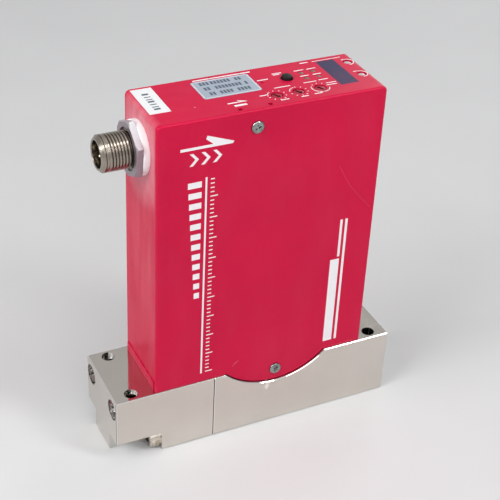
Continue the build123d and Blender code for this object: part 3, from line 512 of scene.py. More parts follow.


# Baked semi-gloss paint with orange peel, faint clouding, dry wiping smears that are duller and carry a painted
# pale pink glare, strongest on the sides, and hairline scratches
def redPaint(name, glareStrength, scratched, haze=0.0):
    look = Finish(name, paint["color"], paint["roughness"])
    tint = look.blend(look.patches(paint["cloudSize"], 4, 0.35, 0.7), paint["color"], paint["deepColor"])
    # streaks of painted glare in pale pink: full on the sides, faint on the top; the same streaks are also
    # duller
    below = look.ramp(look.along(2), coverTop - 3, coverTop - 0.5, glareStrength, glareStrength * 0.15)
    wipesAndGlare = look.times(look.patches(paint["glareWipeSize"], 5, 0.46, 0.78, rough=0.62), below)
    tint = look.blend(wipesAndGlare, tint, paint["glareColor"])
    if haze:
        # a painted pale glow round the connector, a painted highlight, on the end face alone
        paintedGlow = look.ramp(look.fromConnectorAxis(), paint["connectorGlowFrom"], paint["connectorGlowTo"], haze, 0.0)
        onEnd = look.ramp(look.along(0), coverLeft + 0.3, coverLeft + 2.5, 1.0, 0.0)
        paintedGlow = look.times(paintedGlow, look.patches((9, 3, 7), 4, 0.3, 0.6, 0.6, 1.0), onEnd)
        tint = look.blend(paintedGlow, tint, paint["connectorGlowColor"])
    hairs = look.most(*(look.scratches(*scratch, scratched) for scratch in paint["scratches"]))
    look.put("Base Color", look.blend(look.times(hairs, paint["scratchShare"]), tint, paint["scratchColor"]))
    sheen = look.add(look.patches(paint["sheenSize"], 5, 0.3, 0.75, -0.05, 0.07, 0.6), paint["roughness"])
    look.put("Roughness", look.math("MULTIPLY_ADD", wipesAndGlare, paint["wipeDullness"], sheen))
    look.bump(look.noise(paint["peelSize"], 2), paint["peelDepth"], 0.7)
    look.bump(look.noise(paint["grainSize"], 2), paint["grainDepth"], 0.6)
    look.put("Specular IOR Level", paint["gloss"])
    return look.material


steel = {
    "color": (0.70, 0.65, 0.60), "deepColor": (0.64, 0.592, 0.545), "roughness": (0.035, 0.12),
    "lipWidth": 0.15, "lipShadowColor": (0.16, 0.15, 0.15), "lipRoughness": 0.5,
    "edgeHighlightColor": (0.85, 0.84, 0.82), "edgeRoughness": 0.06,
    "markColor": (0.86, 0.80, 0.70), "markAt": (4.0, -14.3, 16.2), "markSize": (1.2, 3.0, 2.9),
    "markShare": 0.8, "markDullness": 0.5, "markCover": 0.7,
    "boreColor": (0.62, 0.61, 0.59), "boreRoughness": 0.13, "boreFrom": 0.35,
    "satinTo": 4.2, "satinAbove": 14.0, "satinRoughness": (0.12, 0.38), "hairDullness": 0.12,
    "hairs": ((14, 0.05, (0, 0.06, 0), 0.26), (9, 0.04, (0, -0.5, 0.2), 0.24)),
}


# 1 well inside the block's own box, which is on the walls of its bores
def boreMask(look):
    depths = []
    for axis, share in enumerate(look.parts(look.coords)):
        middle, half = (bodyLow[axis] + bodyHigh[axis]) / 2, (bodyHigh[axis] - bodyLow[axis]) / 2
        away = look.absolute(look.math("MULTIPLY_ADD", share, 1 / mm, -middle))
        depths.append(look.minus(half, away))
    return look.ramp(look.least(*depths), steel["boreFrom"], steel["boreFrom"] + 0.1)


# Electropolished steel: nearly a mirror, with ground chamfers painted pale as a painted highlight along the
# edges, a painted shadow line on the chamfers under the cover's lip, counterbores in the inlet end painted pale
# as painted glints, hairlines, soft waviness and one dry drip mark
def mirrorSteel(name):
    look = Finish(name, steel["color"], 0.05, 1.0)
    tint = look.blend(look.patches(18, 5, 0.3, 0.75), steel["color"], steel["deepColor"])
    sheen = look.patches(7, 5, 0.35, 0.8, *steel["roughness"], 0.65)
    for hair in steel["hairs"]:
        sheen = look.math("MULTIPLY_ADD", look.scratches(*hair), steel["hairDullness"], sheen)

    # rougher on the masked faces, by that roughness
    def dulled(mask, roughness):
        return look.most(sheen, look.times(mask, roughness))

    size = steel["markSize"]
    spot = look.stretched(size, shift=[-at / wide for at, wide in zip(steel["markAt"], size)])
    mark = look.ramp(look.length(spot), 0.35, 1.0, 1.0, 0.0)
    mark = look.times(mark, look.patches((0.8, 0.8, 3), 3, 0.3, 0.6, 0.45, 1.0))
    tint = look.blend(look.times(mark, steel["markShare"]), tint, steel["markColor"])
    look.put("Metallic", look.minus(1.0, look.times(mark, steel["markCover"])))
    sheen = look.math("MULTIPLY_ADD", mark, steel["markDullness"], sheen)
    # the chamfers get a pale colour, a painted highlight along the edges, and a glossy finish
    edges, sideways = look.chamferMask()
    tint = look.blend(edges, tint, steel["edgeHighlightColor"])
    sheen = dulled(edges, steel["edgeRoughness"])
    # the inner half of the chamfers along the front and rear, under the lip of the cover, is painted dark as a
    # painted shadow gap, and rough
    lip = bodyHigh.y - steel["lipWidth"]
    inner = look.ramp(look.absolute(look.along(1)), lip - 0.05, lip, 1.0, 0.0)
    lips = look.times(edges, look.ramp(sideways, 0.3, 0.5), inner)
    tint = look.blend(lips, tint, steel["lipShadowColor"])
    sheen = dulled(lips, steel["lipRoughness"])
    bores = boreMask(look)
    tint = look.blend(bores, tint, steel["boreColor"])
    sheen = dulled(bores, steel["boreRoughness"])
    # the counterbores in the inlet end are painted in the pale edge colour as painted glints, and patchy in
    # roughness, satin to bright
    seatEnd, seatFoot = bodyLow.x + steel["satinTo"], steel["satinAbove"]
    seats = look.times(bores, look.ramp(look.along(0), seatEnd, seatEnd + 0.4, 1.0, 0.0),
                       look.ramp(look.along(2), seatFoot, seatFoot + 0.5))
    look.put("Base Color", look.blend(seats, tint, steel["edgeHighlightColor"]))
    look.put("Roughness", dulled(seats, look.patches(1.6, 2, 0.36, 0.64, *steel["satinRoughness"])))
    look.bump(look.noise(11, 2), 0.012, 0.5)
    look.bump(look.noise(0.3, 2), 0.0006, 0.4)
    return look.material


connectorTone = {
    "color": (0.35, 0.31, 0.27), "hollowColor": (0.15, 0.11, 0.075), "rootFrom": 5.62, "crest": 5.97,
    "cupWall": 4.9, "grime": 0.8, "roughness": 0.24, "polish": 0.03,
    "hexFrom": 6.3, "hexColor": (0.58, 0.57, 0.60), "underShadeColor": (0.34, 0.26, 0.30), "hexRoughness": 0.45,
}


# Plating of the connector: a warm grey barrel with brown roots, and a satin hexagon whose downward faces are
# painted a darker mauve, a painted shade and reflection
def connectorNickel(name):
    tone = connectorTone
    plain = tone["roughness"]
    look = Finish(name, tone["color"], plain, 1.0)
    away = look.fromConnectorAxis()
    inside = look.ramp(look.along(0), connectorMouthX + 0.4, connectorMouthX + 1.4, 0.0, tone["grime"])
    roots = look.times(look.ramp(away, tone["rootFrom"], tone["crest"], 1.0, 0.0),
                       look.ramp(away, tone["cupWall"], tone["cupWall"] + 0.2), inside)
    tint = look.blend(roots, tone["color"], tone["hollowColor"])
    onHex = look.ramp(away, tone["hexFrom"], tone["hexFrom"] + 0.3)
    # faces of the hexagon that look down are painted darker mauve, a painted shade and reflection of the red
    # cover
    under = look.ramp(look.parts(look.facing)[2], -0.2, 0.6, 1.0, 0.0)
    tint = look.blend(onHex, tint, look.blend(under, tone["hexColor"], tone["underShadeColor"]))
    stain = look.times(look.patches(1.8, 4, 0.5, 0.8, 0.0, 0.22, 0.6), look.ramp(onHex, 0.0, 1.0, 1.0, 0.25))
    look.put("Base Color", look.blend(stain, tint, tone["hollowColor"]))
    polish = look.patches(1.3, 3, 0.3, 0.75, plain - tone["polish"], plain + tone["polish"])
    look.put("Roughness", look.add(look.times(onHex, tone["hexRoughness"] - plain), polish))
    return look.material


# Finish of two colours in patches, of uneven roughness, with a fine bump of (noise, depth, strength)
def mottled(look, patches, color, otherColor, roughness, grain):
    look.put("Base Color", look.blend(patches, color, otherColor))
    look.put("Roughness", roughness)
    look.bump(*grain)
    return look.material


# Turned or plated metal: fine tool rings, uneven polish and grime
def turnedMetal(name, color, roughness, grime, grimeColor, ringSize=0.12):
    look = Finish(name, color, roughness, 1.0)
    polish = look.patches(1.1, 4, 0.3, 0.75, roughness * 0.75, roughness * 1.5)
    return mottled(look, look.patches(2.2, 4, 0.42, 0.75, 0.0, grime, 0.6), color, grimeColor, polish,
                   (look.noise((ringSize, 4, 4), 2), 0.0008, 0.5))


# Moulded plastic with a fine satin grain and slight mottling; on a dial, everything below its top face, the
# slot and the sides, is painted darker still as shade
def mouldedPlastic(name, color, roughness, grain=0.25, depth=0.004, mottle=0.25, gloss=0.5, slotShadeColor=None):
    look = Finish(name, color, roughness)
    look.put("Specular IOR Level", gloss)
    patches, deep = look.patches(1.6, 4, 0.3, 0.75), tuple(part * (1 - mottle) for part in color)
    if slotShadeColor:
        color, deep = look.blend(patches, color, deep), slotShadeColor
        # below the dial's top face the colour turns to the painted shade of the slot
        patches = look.ramp(look.along(2), dialTop - 0.3, dialTop - 0.12, 1.0, 0.0)
    satin = look.patches(0.8, 4, 0.3, 0.8, roughness * 0.8, roughness * 1.25)
    return mottled(look, patches, color, deep, satin, (look.noise(grain, 3), depth, 0.6))


# Tinted window: a dark purple sheet with a slow colour drift and a matt anti-glare face
def tintedWindow(name, color, deepColor):
    look = Finish(name, color, 0.4)
    look.put("Specular IOR Level", 0.2)
    return mottled(look, look.patches((5, 9, 5), 2, 0.3, 0.7), color, deepColor,
                   look.patches(2.5, 4, 0.35, 0.8, 0.34, 0.46), (look.noise(4, 2), 0.008, 0.3))


# Label stock: a satin film, brushed or paper-like, with soft handling marks
def labelStock(name, color, paleColor, roughness, brushed):
    look = Finish(name, color, roughness, 0.35 if brushed else 0.0)
    fibre = look.noise((3.5, 0.09, 1) if brushed else (0.25, 0.3, 1), 4, 0.6)
    return mottled(look, look.ramp(fibre, 0.3, 0.7), color, paleColor,
                   look.patches(3, 4, 0.3, 0.75, roughness * 0.8, roughness * 1.2), (fibre, 0.002, 0.5))


# Screen-printed ink: nearly flat, a little thin in places
def printInk(name, color, roughness=0.45):
    look = Finish(name, color, roughness)
    thinColor = tuple(part * 0.8 for part in color)
    return mottled(look, look.patches(0.5, 3, 0.62, 0.85, 0.0, 0.35), color, thinColor,
                   look.patches(1.4, 3, 0.3, 0.8, roughness * 0.85, roughness * 1.15),
                   (look.noise(0.12, 2), 0.001, 0.5))


# Solder mask over copper tracks
def circuitBoard(name, color, trackColor):
    look = Finish(name, color, 0.35)
    cells = look.node("ShaderNodeTexVoronoi", {"Scale": 1.0, "Vector": look.stretched((1.6, 1.6, 1.6))})
    tracks = look.ramp(cells.outputs["Distance"], 0.25, 0.35, 1.0, 0.0)
    return mottled(look, tracks, color, trackColor, 0.35, (tracks, 0.03, 0.6))


# Unlit indicator lens: milky tinted plastic, slightly domed
def lensFinish(name, color, deepColor):
    look = Finish(name, color, 0.3)
    look.put("Coat Weight", 0.2)
    look.put("Coat Roughness", 0.15)
    return mottled(look, look.patches(0.7, 3, 0.3, 0.75), color, deepColor, 0.3,
                   (look.noise(0.3, 2), 0.003, 0.5))


# Each finish: what makes it, and what it is made with
recipes = {
    "wrapPaint": (redPaint, 0.5, 0.22, 0.62),
    "panelPaint": (redPaint, 0.07, 0.22),
    "blockSteel": (mirrorSteel,),
    "innerSteel": (turnedMetal, (0.62, 0.61, 0.59), 0.22, 0.3, (0.5, 0.48, 0.45)),
    "screwSteel": (turnedMetal, (0.33, 0.355, 0.345), 0.11, 0.9, (0.07, 0.085, 0.08), 0.2),
    "headSteel": (turnedMetal, (0.66, 0.61, 0.54), 0.24, 0.5, (0.34, 0.27, 0.20), 0.2),
    "nickel": (connectorNickel,),
    "sealPlastic": (mouldedPlastic, (0.88, 0.88, 0.89), 0.42, 0.3, 0.003, 0.03),
    "blackPlastic": (mouldedPlastic, (0.011, 0.010, 0.011), 0.45, 0.25, 0.004, 0.25, 0.2),
    "greyPlastic": (mouldedPlastic, (0.52, 0.45, 0.48), 0.3),
    "rotorPlastic": (mouldedPlastic, (0.33, 0.006, 0.026), 0.38, 0.25, 0.004, 0.25, 0.5, (0.045, 0.004, 0.007)),
    "windowPlastic": (tintedWindow, (0.046, 0.018, 0.070), (0.026, 0.020, 0.072)),
    "lensPlastic": (lensFinish, (0.21, 0.085, 0.065), (0.15, 0.075, 0.052)),
    "silverLabel": (labelStock, (0.365, 0.425, 0.515), (0.425, 0.485, 0.57), 0.42, True),
    "whiteLabel": (labelStock, (0.79, 0.79, 0.80), (0.74, 0.75, 0.77), 0.5, False),
    "whiteInk": (printInk, (0.82, 0.79, 0.82)),
    "greyInk": (printInk, (0.075, 0.10, 0.14)),
    "paleInk": (printInk, (0.56, 0.60, 0.65)),
    "rubbedRed": (printInk, (0.575, 0.008, 0.056)),
    "scratchPink": (printInk, (0.66, 0.22, 0.28)),
    "boardMask": (circuitBoard, (0.02, 0.16, 0.06), (0.05, 0.30, 0.11)),
    "goldPlate": (turnedMetal, (0.82, 0.72, 0.54), 0.26, 0.3, (0.50, 0.40, 0.24)),
    "ceramic": (mouldedPlastic, (0.62, 0.55, 0.40), 0.45),
    "bareAluminium": (turnedMetal, (0.66, 0.66, 0.67), 0.28, 0.3, (0.52, 0.52, 0.53)),
    "windingWire": (turnedMetal, (0.42, 0.17, 0.07), 0.3, 0.5, (0.25, 0.08, 0.03)),
}
finishes = {name: make(name, *rest) for name, (make, *rest) in recipes.items()}

slotFinish = {
    "polished_steel": "innerSteel", "screw_steel": "screwSteel", "red_paint": "wrapPaint", "nickel": "nickel",
    "white_flange": "sealPlastic", "black_plastic": "blackPlastic", "grey_plastic": "greyPlastic",
    "dark_red_plastic": "rotorPlastic", "lens_plastic": "lensPlastic", "window_plastic": "windowPlastic",
    "circuit_board": "boardMask", "gold_contact": "goldPlate", "ceramic_stack": "ceramic",
    "aluminium": "bareAluminium", "label_silver": "silverLabel", "label_white": "whiteLabel",
    "winding_wire": "windingWire",
}
ownFinish = {"inlet_block": "blockSteel", "main_block": "blockSteel",
             "front_panel": "panelPaint", "rear_panel": "panelPaint"}

for row in frame["record"]["subparts"]:
    key = ownFinish.get(row["node"], slotFinish[row["material_slot"]])
    mesh = nodes[row["node"]].data
    mesh.materials.clear()
    mesh.materials.append(finishes[key])
print("materials ready:", len(finishes))

# Screws of the cover

coverScrew = {"headD": 4.3, "headHeight": 0.8, "crownInset": 0.75, "rimShare": 0.32,
              "shankD": 2.5, "length": 6.0, "tipInset": 0.25, "tipLength": 0.3,
              "crossWidth": 0.55, "crossSpan": 2.5, "crossDepth": 0.62, "crossFloor": (0.45, 0.75),
              "turns": (0.35, 0.9, 0.5, 1.2)}
boxFaces = [(3, 2, 1, 0), (4, 5, 6, 7), (0, 1, 5, 4), (1, 2, 6, 5), (2, 3, 7, 6), (3, 0, 4, 7)]


# Pan-head screw with a cross recess, head up from z 0
def panHeadMaster(size):
    head, foot = size["headHeight"], -size["length"]
    radius, shank = size["headD"] / 2, size["shankD"] / 2
    rim = size["rimShare"]
    turns = [math.pi / 2 * step / 7 for step in range(8)]
    crown = [(radius - size["crownInset"] * (1 - math.cos(t)), head * rim + head * (1 - rim) * math.sin(t))
             for t in turns]
    profile = [(0, foot), (shank - size["tipInset"], foot), (shank, foot + size["tipLength"]), (shank, 0),
               (radius, 0), *crown, (0, head)]
    screw = turnedPiece("panHead", profile, 48)
    # the recess narrows towards its floor
    span, width = size["crossSpan"] / 2, size["crossWidth"] / 2
    floorSpan, floorWidth = size["crossFloor"]
    layers = ((head - size["crossDepth"], span * floorSpan, width * floorWidth), (head + 0.2, span, width))
    cutters = []
    for across in (False, True):
        verts = []
        for z, long, wide in layers:
            x, y = (wide, long) if across else (long, wide)
            verts += [(-x, -y, z), (x, -y, z), (x, y, z), (-x, y, z)]
        cutters.append(addMesh("cross", verts, boxFaces))
    return carved(screw, cutters, "panHeadMaster")


screwNodes = ("front_upper_screw", "front_lower_screw", "rear_upper_screw", "rear_lower_screw")
screwStands = []
for name, turn in zip(screwNodes, coverScrew["turns"]):
    outward = -1 if name.startswith("front") else 1
    x, y, z = middleOf(name)
    across = (math.cos(turn), 0, math.sin(turn))
    screwStands.append(standAt((x, -outward * panelFace, z), (0, outward, 0), across))
panHeads = copyOnto("cover_screws", panHeadMaster(coverScrew), screwStands, finishes["screwSteel"])
finishPiece(panHeads, mainBody, "screw_steel", *screwNodes)

# Socket-head screws that join the two blocks

socketScrew = {"headD": 7.0, "headHeight": 4.0, "hexFlats": 3.0, "hexDepth": 2.0, "shankD": 4.0, "bend": 0.45,
               "knurls": 48, "knurlDepth": 0.14, "knurlWidth": 0.26, "knurlFrom": 0.3, "knurlMargin": 0.5,
               "upperInset": 0.4}


# Socket head with a knurled rim and hexagon socket; the head hangs below z 0, the shank stands above it
def socketHeadMaster(size, length):
    inner, shank = size["headD"] / 2 - size["knurlDepth"], size["shankD"] / 2
    head = size["headHeight"]
    rim = [(radius, -height) for radius, height in reversed(roundCorner(inner, head, size["bend"]))]
    profile = [(0, -head), *rim, (inner, 0), (shank, 0), (shank, length), (0, length)]
    screw = turnedPiece("socketHead", profile, 48)
    corner = size["hexFlats"] / 3 ** 0.5
    hexagon = [onCircle(corner, fullTurn / 6 * k) for k in range(6)]
    cutter = addMesh("hexCutter", *prism(hexagon, -head - 1, size["hexDepth"] - head))
    screw = carved(screw, [cutter], "socketHeadBody")
    ribLength = head - size["bend"] - size["knurlMargin"]
    ribSize = (2 * size["knurlDepth"] * mm, size["knurlWidth"] * mm, ribLength * mm)
    ribs = growTree(marksOnRing, "knurlRibs", {
        "Count": size["knurls"], "Radius": inner * mm, "Size": ribSize,
        "Centre": (0, 0, -(size["knurlFrom"] + ribLength / 2) * mm)}, finishes["headSteel"])
    return joined("socketHeadMaster", [screw, ribs], None)


low, high = boxMm("joint_screws")
headRadius = socketScrew["headD"] / 2
seatX = low.x + socketScrew["headHeight"]
sideY = high.y - headRadius
headSpots = ((sideY - socketScrew["upperInset"], high.z - headRadius), (sideY, low.z + headRadius))
jointStands = [standAt((seatX, side * y, z), (1, 0, 0), (0, 1, 0)) for side in (1, -1) for y, z in headSpots]
jointHeads = copyOnto("joint_socket_screws", socketHeadMaster(socketScrew, high.x - seatX), jointStands,
                      finishes["headSteel"])
finishPiece(jointHeads, mainBody, "screw_steel", "joint_screws")
print("screws ready")

# Round connector: heights are measured from the cover's end face, out towards the mouth

connector = {
    "threadD": 12.0, "pitch": 1.0, "threadDepth": 0.36, "crestShare": 0.5, "rootShare": 0.125,
    "stepsPerPitch": 16, "turnSteps": 96,
    "mouthRing": 2.3, "mouthChamfer": 1.0, "grooveFrom": 1.3, "grooveWidth": 0.3,
    "cupD": 8.8, "cupDepth": 8.3, "cupChamfer": 0.2, "shankD": 10.0, "shankBore": 8.04, "shankChamfer": 0.3,
    "hexFlats": 17.0, "hexTurn": 23.7, "hexThick": 2.2, "coneD": 17.7, "coneSlope": 27.0,
    "hexEdge": 0.1, "hexEdgeRise": 0.08, "hexLand": 0.05,
    "dishD": 13.8, "dishDepth": 1.0, "dishWall": (0.15, 0.85), "dishFoot": 0.35,
    "washer": 2.2, "washerD": 17.8, "washerPlay": 0.02, "washerEdge": 0.15, "washerBend": 0.3,
}
mouthTop = coverLeft - connectorMouthX
connectorStand = standAt((coverLeft, 0, connectorAxisZ), (-1, 0, 0), (0, -1, 0))
hexTop = connector["washer"] + connector["hexThick"]
dishFloor = hexTop - connector["dishDepth"]
shankEnd = coverLeft - shellHigh.x


# Hexagon with turned corners and a dished outer face, between the washer and the barrel
def hexBody(size, steps=180):
    flat, cone = size["hexFlats"] / 2, size["coneD"] / 2
    dish, barrel = size["dishD"] / 2, size["threadD"] / 2
    base, top, rise = size["washer"], hexTop, size["hexEdgeRise"]
    wallInset, wallShare = size["dishWall"]
    columns = []
    for step in range(steps):
        fromFlat = math.radians(360 / steps * (step % (steps // 6)) - 30)
        edge = flat / math.cos(fromFlat)
        fall = max(0.0, edge - cone) * math.tan(math.radians(size["coneSlope"]))
        profile = [(barrel - 1, base), (edge - size["hexEdge"], base), (edge, base + rise),
                   (edge, top - fall - size["hexLand"]), (min(edge - 0.08, cone), top), (dish, top),
                   (dish - wallInset, top - size["dishDepth"] * wallShare),
                   (dish - size["dishFoot"], dishFloor), (barrel - 0.3, dishFloor)]
        turn = math.radians(size["hexTurn"]) + fullTurn * step / steps
        columns.append([(*onCircle(radius, turn), z) for radius, z in profile])
    verts = [spot for ring in zip(*columns) for spot in ring]
    rings = [range(start, start + steps) for start in range(0, len(verts), steps)]
    return addMesh("hexBody", moved(verts, connectorStand), ringFaces(rings + rings[:1], steps))


# Barrel with its helical thread, plain mouth and cup, and the shank behind the cover
def barrelParts(size):
    threadEnd = mouthTop - size["mouthRing"]
    radius, cup, shank = size["threadD"] / 2, size["cupD"] / 2, size["shankD"] / 2
    threadLength = threadEnd - dishFloor
    heightSteps = math.ceil((threadLength / size["pitch"] + 1) * size["stepsPerPitch"])
    thread = growTree(screwThread, "barrelThread", {
        "Span": heightSteps / size["stepsPerPitch"] * size["pitch"] * mm,
        "Length": threadLength * mm, "Pitch": size["pitch"] * mm, "Radius": radius * mm,
        "Depth": size["threadDepth"] * mm, "Crest": size["crestShare"], "Root": size["rootShare"],
        "Base": dishFloor * mm, "Height steps": heightSteps,
        "Turn steps": size["turnSteps"]}, finishes["nickel"])
    thread.data.transform(Matrix.Scale(mm, 4) @ connectorStand @ Matrix.Scale(1 / mm, 4))
    chamfer, lead, relief = size["mouthChamfer"], size["cupChamfer"], size["shankChamfer"]
    cupFloor, bore = mouthTop - size["cupDepth"], size["shankBore"] / 2
    grooveTop, groove = mouthTop - size["grooveFrom"], size["grooveWidth"]
    profile = [
        (radius, threadEnd), (radius, grooveTop - groove), (radius - groove, grooveTop - groove * 0.75),
        (radius - groove, grooveTop - groove * 0.25), (radius, grooveTop), (radius, mouthTop - chamfer),
        (radius - chamfer, mouthTop), (cup + lead, mouthTop), (cup, mouthTop - lead), (cup, cupFloor),
        (bore, cupFloor), (bore, shankEnd), (shank - relief, shankEnd), (shank, shankEnd + relief),
        (shank, dishFloor), (radius, dishFloor)]
    return [thread, turnedPiece("barrelMouth", profile, 96, stand=connectorStand)]


shell = joined("connector_body", [hexBody(connector)] + barrelParts(connector), finishes["nickel"], 25)
finishPiece(shell, mainBody, "nickel", "connector_shell")

washerHole = connector["shankD"] / 2 + connector["washerPlay"]
washerRadius, washerEdge = connector["washerD"] / 2, connector["washerEdge"]
washerProfile = [
    (washerHole, 0), (washerRadius - washerEdge, 0), (washerRadius, washerEdge),
    *roundCorner(washerRadius, connector["washer"], connector["washerBend"]),
    (washerHole, connector["washer"]), (washerHole, 0)]
washer = turnedPiece("connector_seal_ring", washerProfile, 120, finishes["sealPlastic"], connectorStand)
finishPiece(washer, mainBody, "white_flange", "connector_washer")

contact = {"d": 1.0, "circleD": 5.2, "tipBend": 0.5, "tipFlat": 0.02}
pinLow, pinHigh = boxMm("connector_pins")
pinTip, pinFoot = coverLeft - pinLow.x, coverLeft - pinHigh.x
pinRadius = contact["d"] / 2
pinProfile = [(0, pinFoot), (pinRadius, pinFoot), (pinRadius, pinTip - contact["tipBend"]),
              *roundCorner(pinRadius, pinTip, contact["tipBend"] - contact["tipFlat"], 4), (0, pinTip)]
pinSpots = [(0, 0)] + [onCircle(contact["circleD"] / 2, math.radians(45 + 90 * k)) for k in range(4)]
pinStands = [connectorStand @ Matrix.Translation((x, y, 0)) for x, y in pinSpots]
pinMaster = turnedPiece("pinMaster", pinProfile, 20)
pins = copyOnto("connector_contacts", pinMaster, pinStands, finishes["goldPlate"])
finishPiece(pins, mainBody, "gold_contact", "connector_pins")
print("connector ready")

# Buttons, dials and lenses on the top

button = {"collar": 0.5, "collarHeight": 1.0, "collarGap": 0.2, "sheet": 1.2,
          "crownShares": (0.8, 0.6, 0.4, 0.2, 0.0)}
# bend of the rim, height of the crown, finish and slot
raisedButton = (0.4, 0.12, "blackPlastic", "black_plastic")
smallButton = (0.15, 0.16, "greyPlastic", "grey_plastic")


# Round button on a collar under the sheet, with a rounded rim and a crown that rises to its middle
def buttonPiece(name, node, bend, crown, finish, slot):
    low, high = boxMm(node)
    x, y, z = middleOf(node)
    wide = (high.x - low.x) / 2
    radius = wide - button["collar"]
    collarTop = coverTop - button["sheet"] - button["collarGap"]
    collarFoot = collarTop - button["collarHeight"]
    profile = [(0, low.z), (radius, low.z), (radius, collarFoot), (wide, collarFoot), (wide, collarTop),
               (radius, collarTop), *roundCorner(radius, high.z - crown, bend)]
    profile += [(share * (radius - bend), high.z - crown * share ** 2) for share in button["crownShares"]]
    piece = turnedPiece(name, profile, 64, finishes[finish], Matrix.Translation((x, y, 0)), 40)
    finishPiece(piece, node, slot, node)


buttonPiece("zero_push_button", "zero_button", *raisedButton)
for side in ("rear", "front"):
    buttonPiece(f"display_push_button_{side}", f"display_button_{side}", *smallButton)

rotor = {"bend": 0.15, "slotLength": 2.8, "slotWidth": 0.8, "slotDepth": 0.8,
         "headLength": 0.95, "headWidth": 1.7, "turns": (-62, -62, 118)}


# Screwdriver rotor with an arrow-shaped slot, turned to its setting in degrees
def rotorPiece(node, degrees):
    low, high = boxMm(node)
    x, y, z = middleOf(node)
    radius = (high.x - low.x) / 2
    profile = [(0, low.z), (radius, low.z), *roundCorner(radius, high.z, rotor["bend"], 3), (0, high.z)]
    half, wide, tip = rotor["slotLength"] / 2, rotor["slotWidth"] / 2, rotor["headWidth"] / 2
    neck = half - rotor["headLength"]
    arrow = [(-half, -wide), (neck, -wide), (neck, -tip), (half, 0), (neck, tip), (neck, wide), (-half, wide)]
    verts, faces = prism(arrow, high.z - rotor["slotDepth"], high.z + 1)
    cutter = addMesh("slotCutter", moved(verts, Matrix.Rotation(math.radians(degrees), 4, "Z")), faces)
    piece = carved(turnedPiece("rotorBody", profile, 48), [cutter], node + "_rotor", finishes["rotorPlastic"])
    piece.data.transform(Matrix.Translation((x * mm, y * mm, 0)))
    finishPiece(piece, node, "dark_red_plastic", node)


dialNodes = ("dial_1", "dial_2", "dial_3")
for node, degrees in zip(dialNodes, rotor["turns"]):
    rotorPiece(node, degrees)

lens = {"dome": 0.25, "steps": (0.3, 0.6, 0.9, 1.2)}
lensNodes = [f"status_lens_{k}" for k in range(1, 5)]
lensLow, lensHigh = boxMm(lensNodes[0])
lensRadius, lensFoot = (lensHigh.x - lensLow.x) / 2, lensLow.z - lensHigh.z
lensProfile = [(0, lensFoot), (lensRadius, lensFoot), (lensRadius, -lens["dome"]),
               *[(lensRadius * math.cos(t), lens["dome"] * (math.sin(t) - 1)) for t in lens["steps"]], (0, 0)]
lensMaster = turnedPiece("lensMaster", lensProfile, 32, sharp=60)
lensStands = [Matrix.Translation((*middleOf(name)[:2], boxMm(name)[1].z)) for name in lensNodes]
lenses = copyOnto("indicator_lenses", lensMaster, lensStands, finishes["lensPlastic"], 60)
finishPiece(lenses, mainBody, "lens_plastic", *lensNodes)
print("buttons, dials and lenses ready")

# Prints

inkThick = 0.03


# Flat printed shapes, each an outline of (x, y) points on the stand's plane
def inkShapes(name, outlines, stand, finish, slot):
    verts, faces = [], []
    for outline in outlines:
        more, sides = prism(outline, 0, inkThick)
        faces += [[index + len(verts) for index in side] for side in sides]
        verts += moved(more, stand)
    finishPiece(addMesh(name, verts, faces, finishes[finish]), mainBody, slot)


def bar(x0, y0, x1, y1):
    return [(x0, y0), (x1, y0), (x1, y1), (x0, y1)]


# Outline of a part of a ring, angles in degrees
def arcBand(x, y, radius, width, start, sweep):
    steps = max(4, int(abs(sweep) / 12))
    turns = [math.radians(start + sweep * step / steps) for step in range(steps + 1)]
    path = [(radius + width / 2, turn) for turn in turns]
    path += [(radius - width / 2, turn) for turn in reversed(turns)]
    return [(x + r * math.cos(turn), y + r * math.sin(turn)) for r, turn in path]


frontStand = standAt((0, panelFace, 0), (0, -1, 0), (1, 0, 0))       # print x along X, y along Z
topStand = Matrix.Translation((0, 0, coverTop))

frontPrint = {
    "arrow": ((-30.3, 116.625), (-12.9, 116.625), (-12.45, 117.35), (-21.45, 120.75), (-21.9, 119.65),
              (-19.4, 117.575), (-30.3, 117.575)),
    "chevron": (4.3, 1.9, 1.15), "chevronsAt": ((-27.2, 111.1), (-23.3, 111.1), (-19.4, 111.1)),
    "bars": ((-21.7, 29.0, -21.1, 106.3), (25.7, 29.0, 29.1, 63.7), (30.1, 29.0, 31.0, 79.4),
             (28.2, 64.6, 29.1, 79.4)),
    "gauge": (-27.6, -22.95, 61.1, 106.9, 12), "gaugeLeast": 0.34, "gaugeShare": 0.56,
}
tall, lean, arm = frontPrint["chevron"]
outlines = [frontPrint["arrow"]] + [bar(*corners) for corners in frontPrint["bars"]]
for left, foot in frontPrint["chevronsAt"]:
    middle, top = foot + tall / 2, foot + tall
    outlines.append([(left, foot), (left + arm, foot), (left + arm + lean, middle), (left + arm, top),
                     (left, top), (left + lean, middle)])
x0, x1, z0, z1, count = frontPrint["gauge"]
pitch = (z1 - z0) / count
for step in range(count):
    length = (x1 - x0) * (frontPrint["gaugeLeast"] + (1 - frontPrint["gaugeLeast"]) * (step + 1) / count)
    foot = z0 + step * pitch
    outlines.append(bar(x1 - length, foot, x1, foot + pitch * frontPrint["gaugeShare"]))
inkShapes("front_marks", outlines, frontStand, "whiteInk", "label_white")

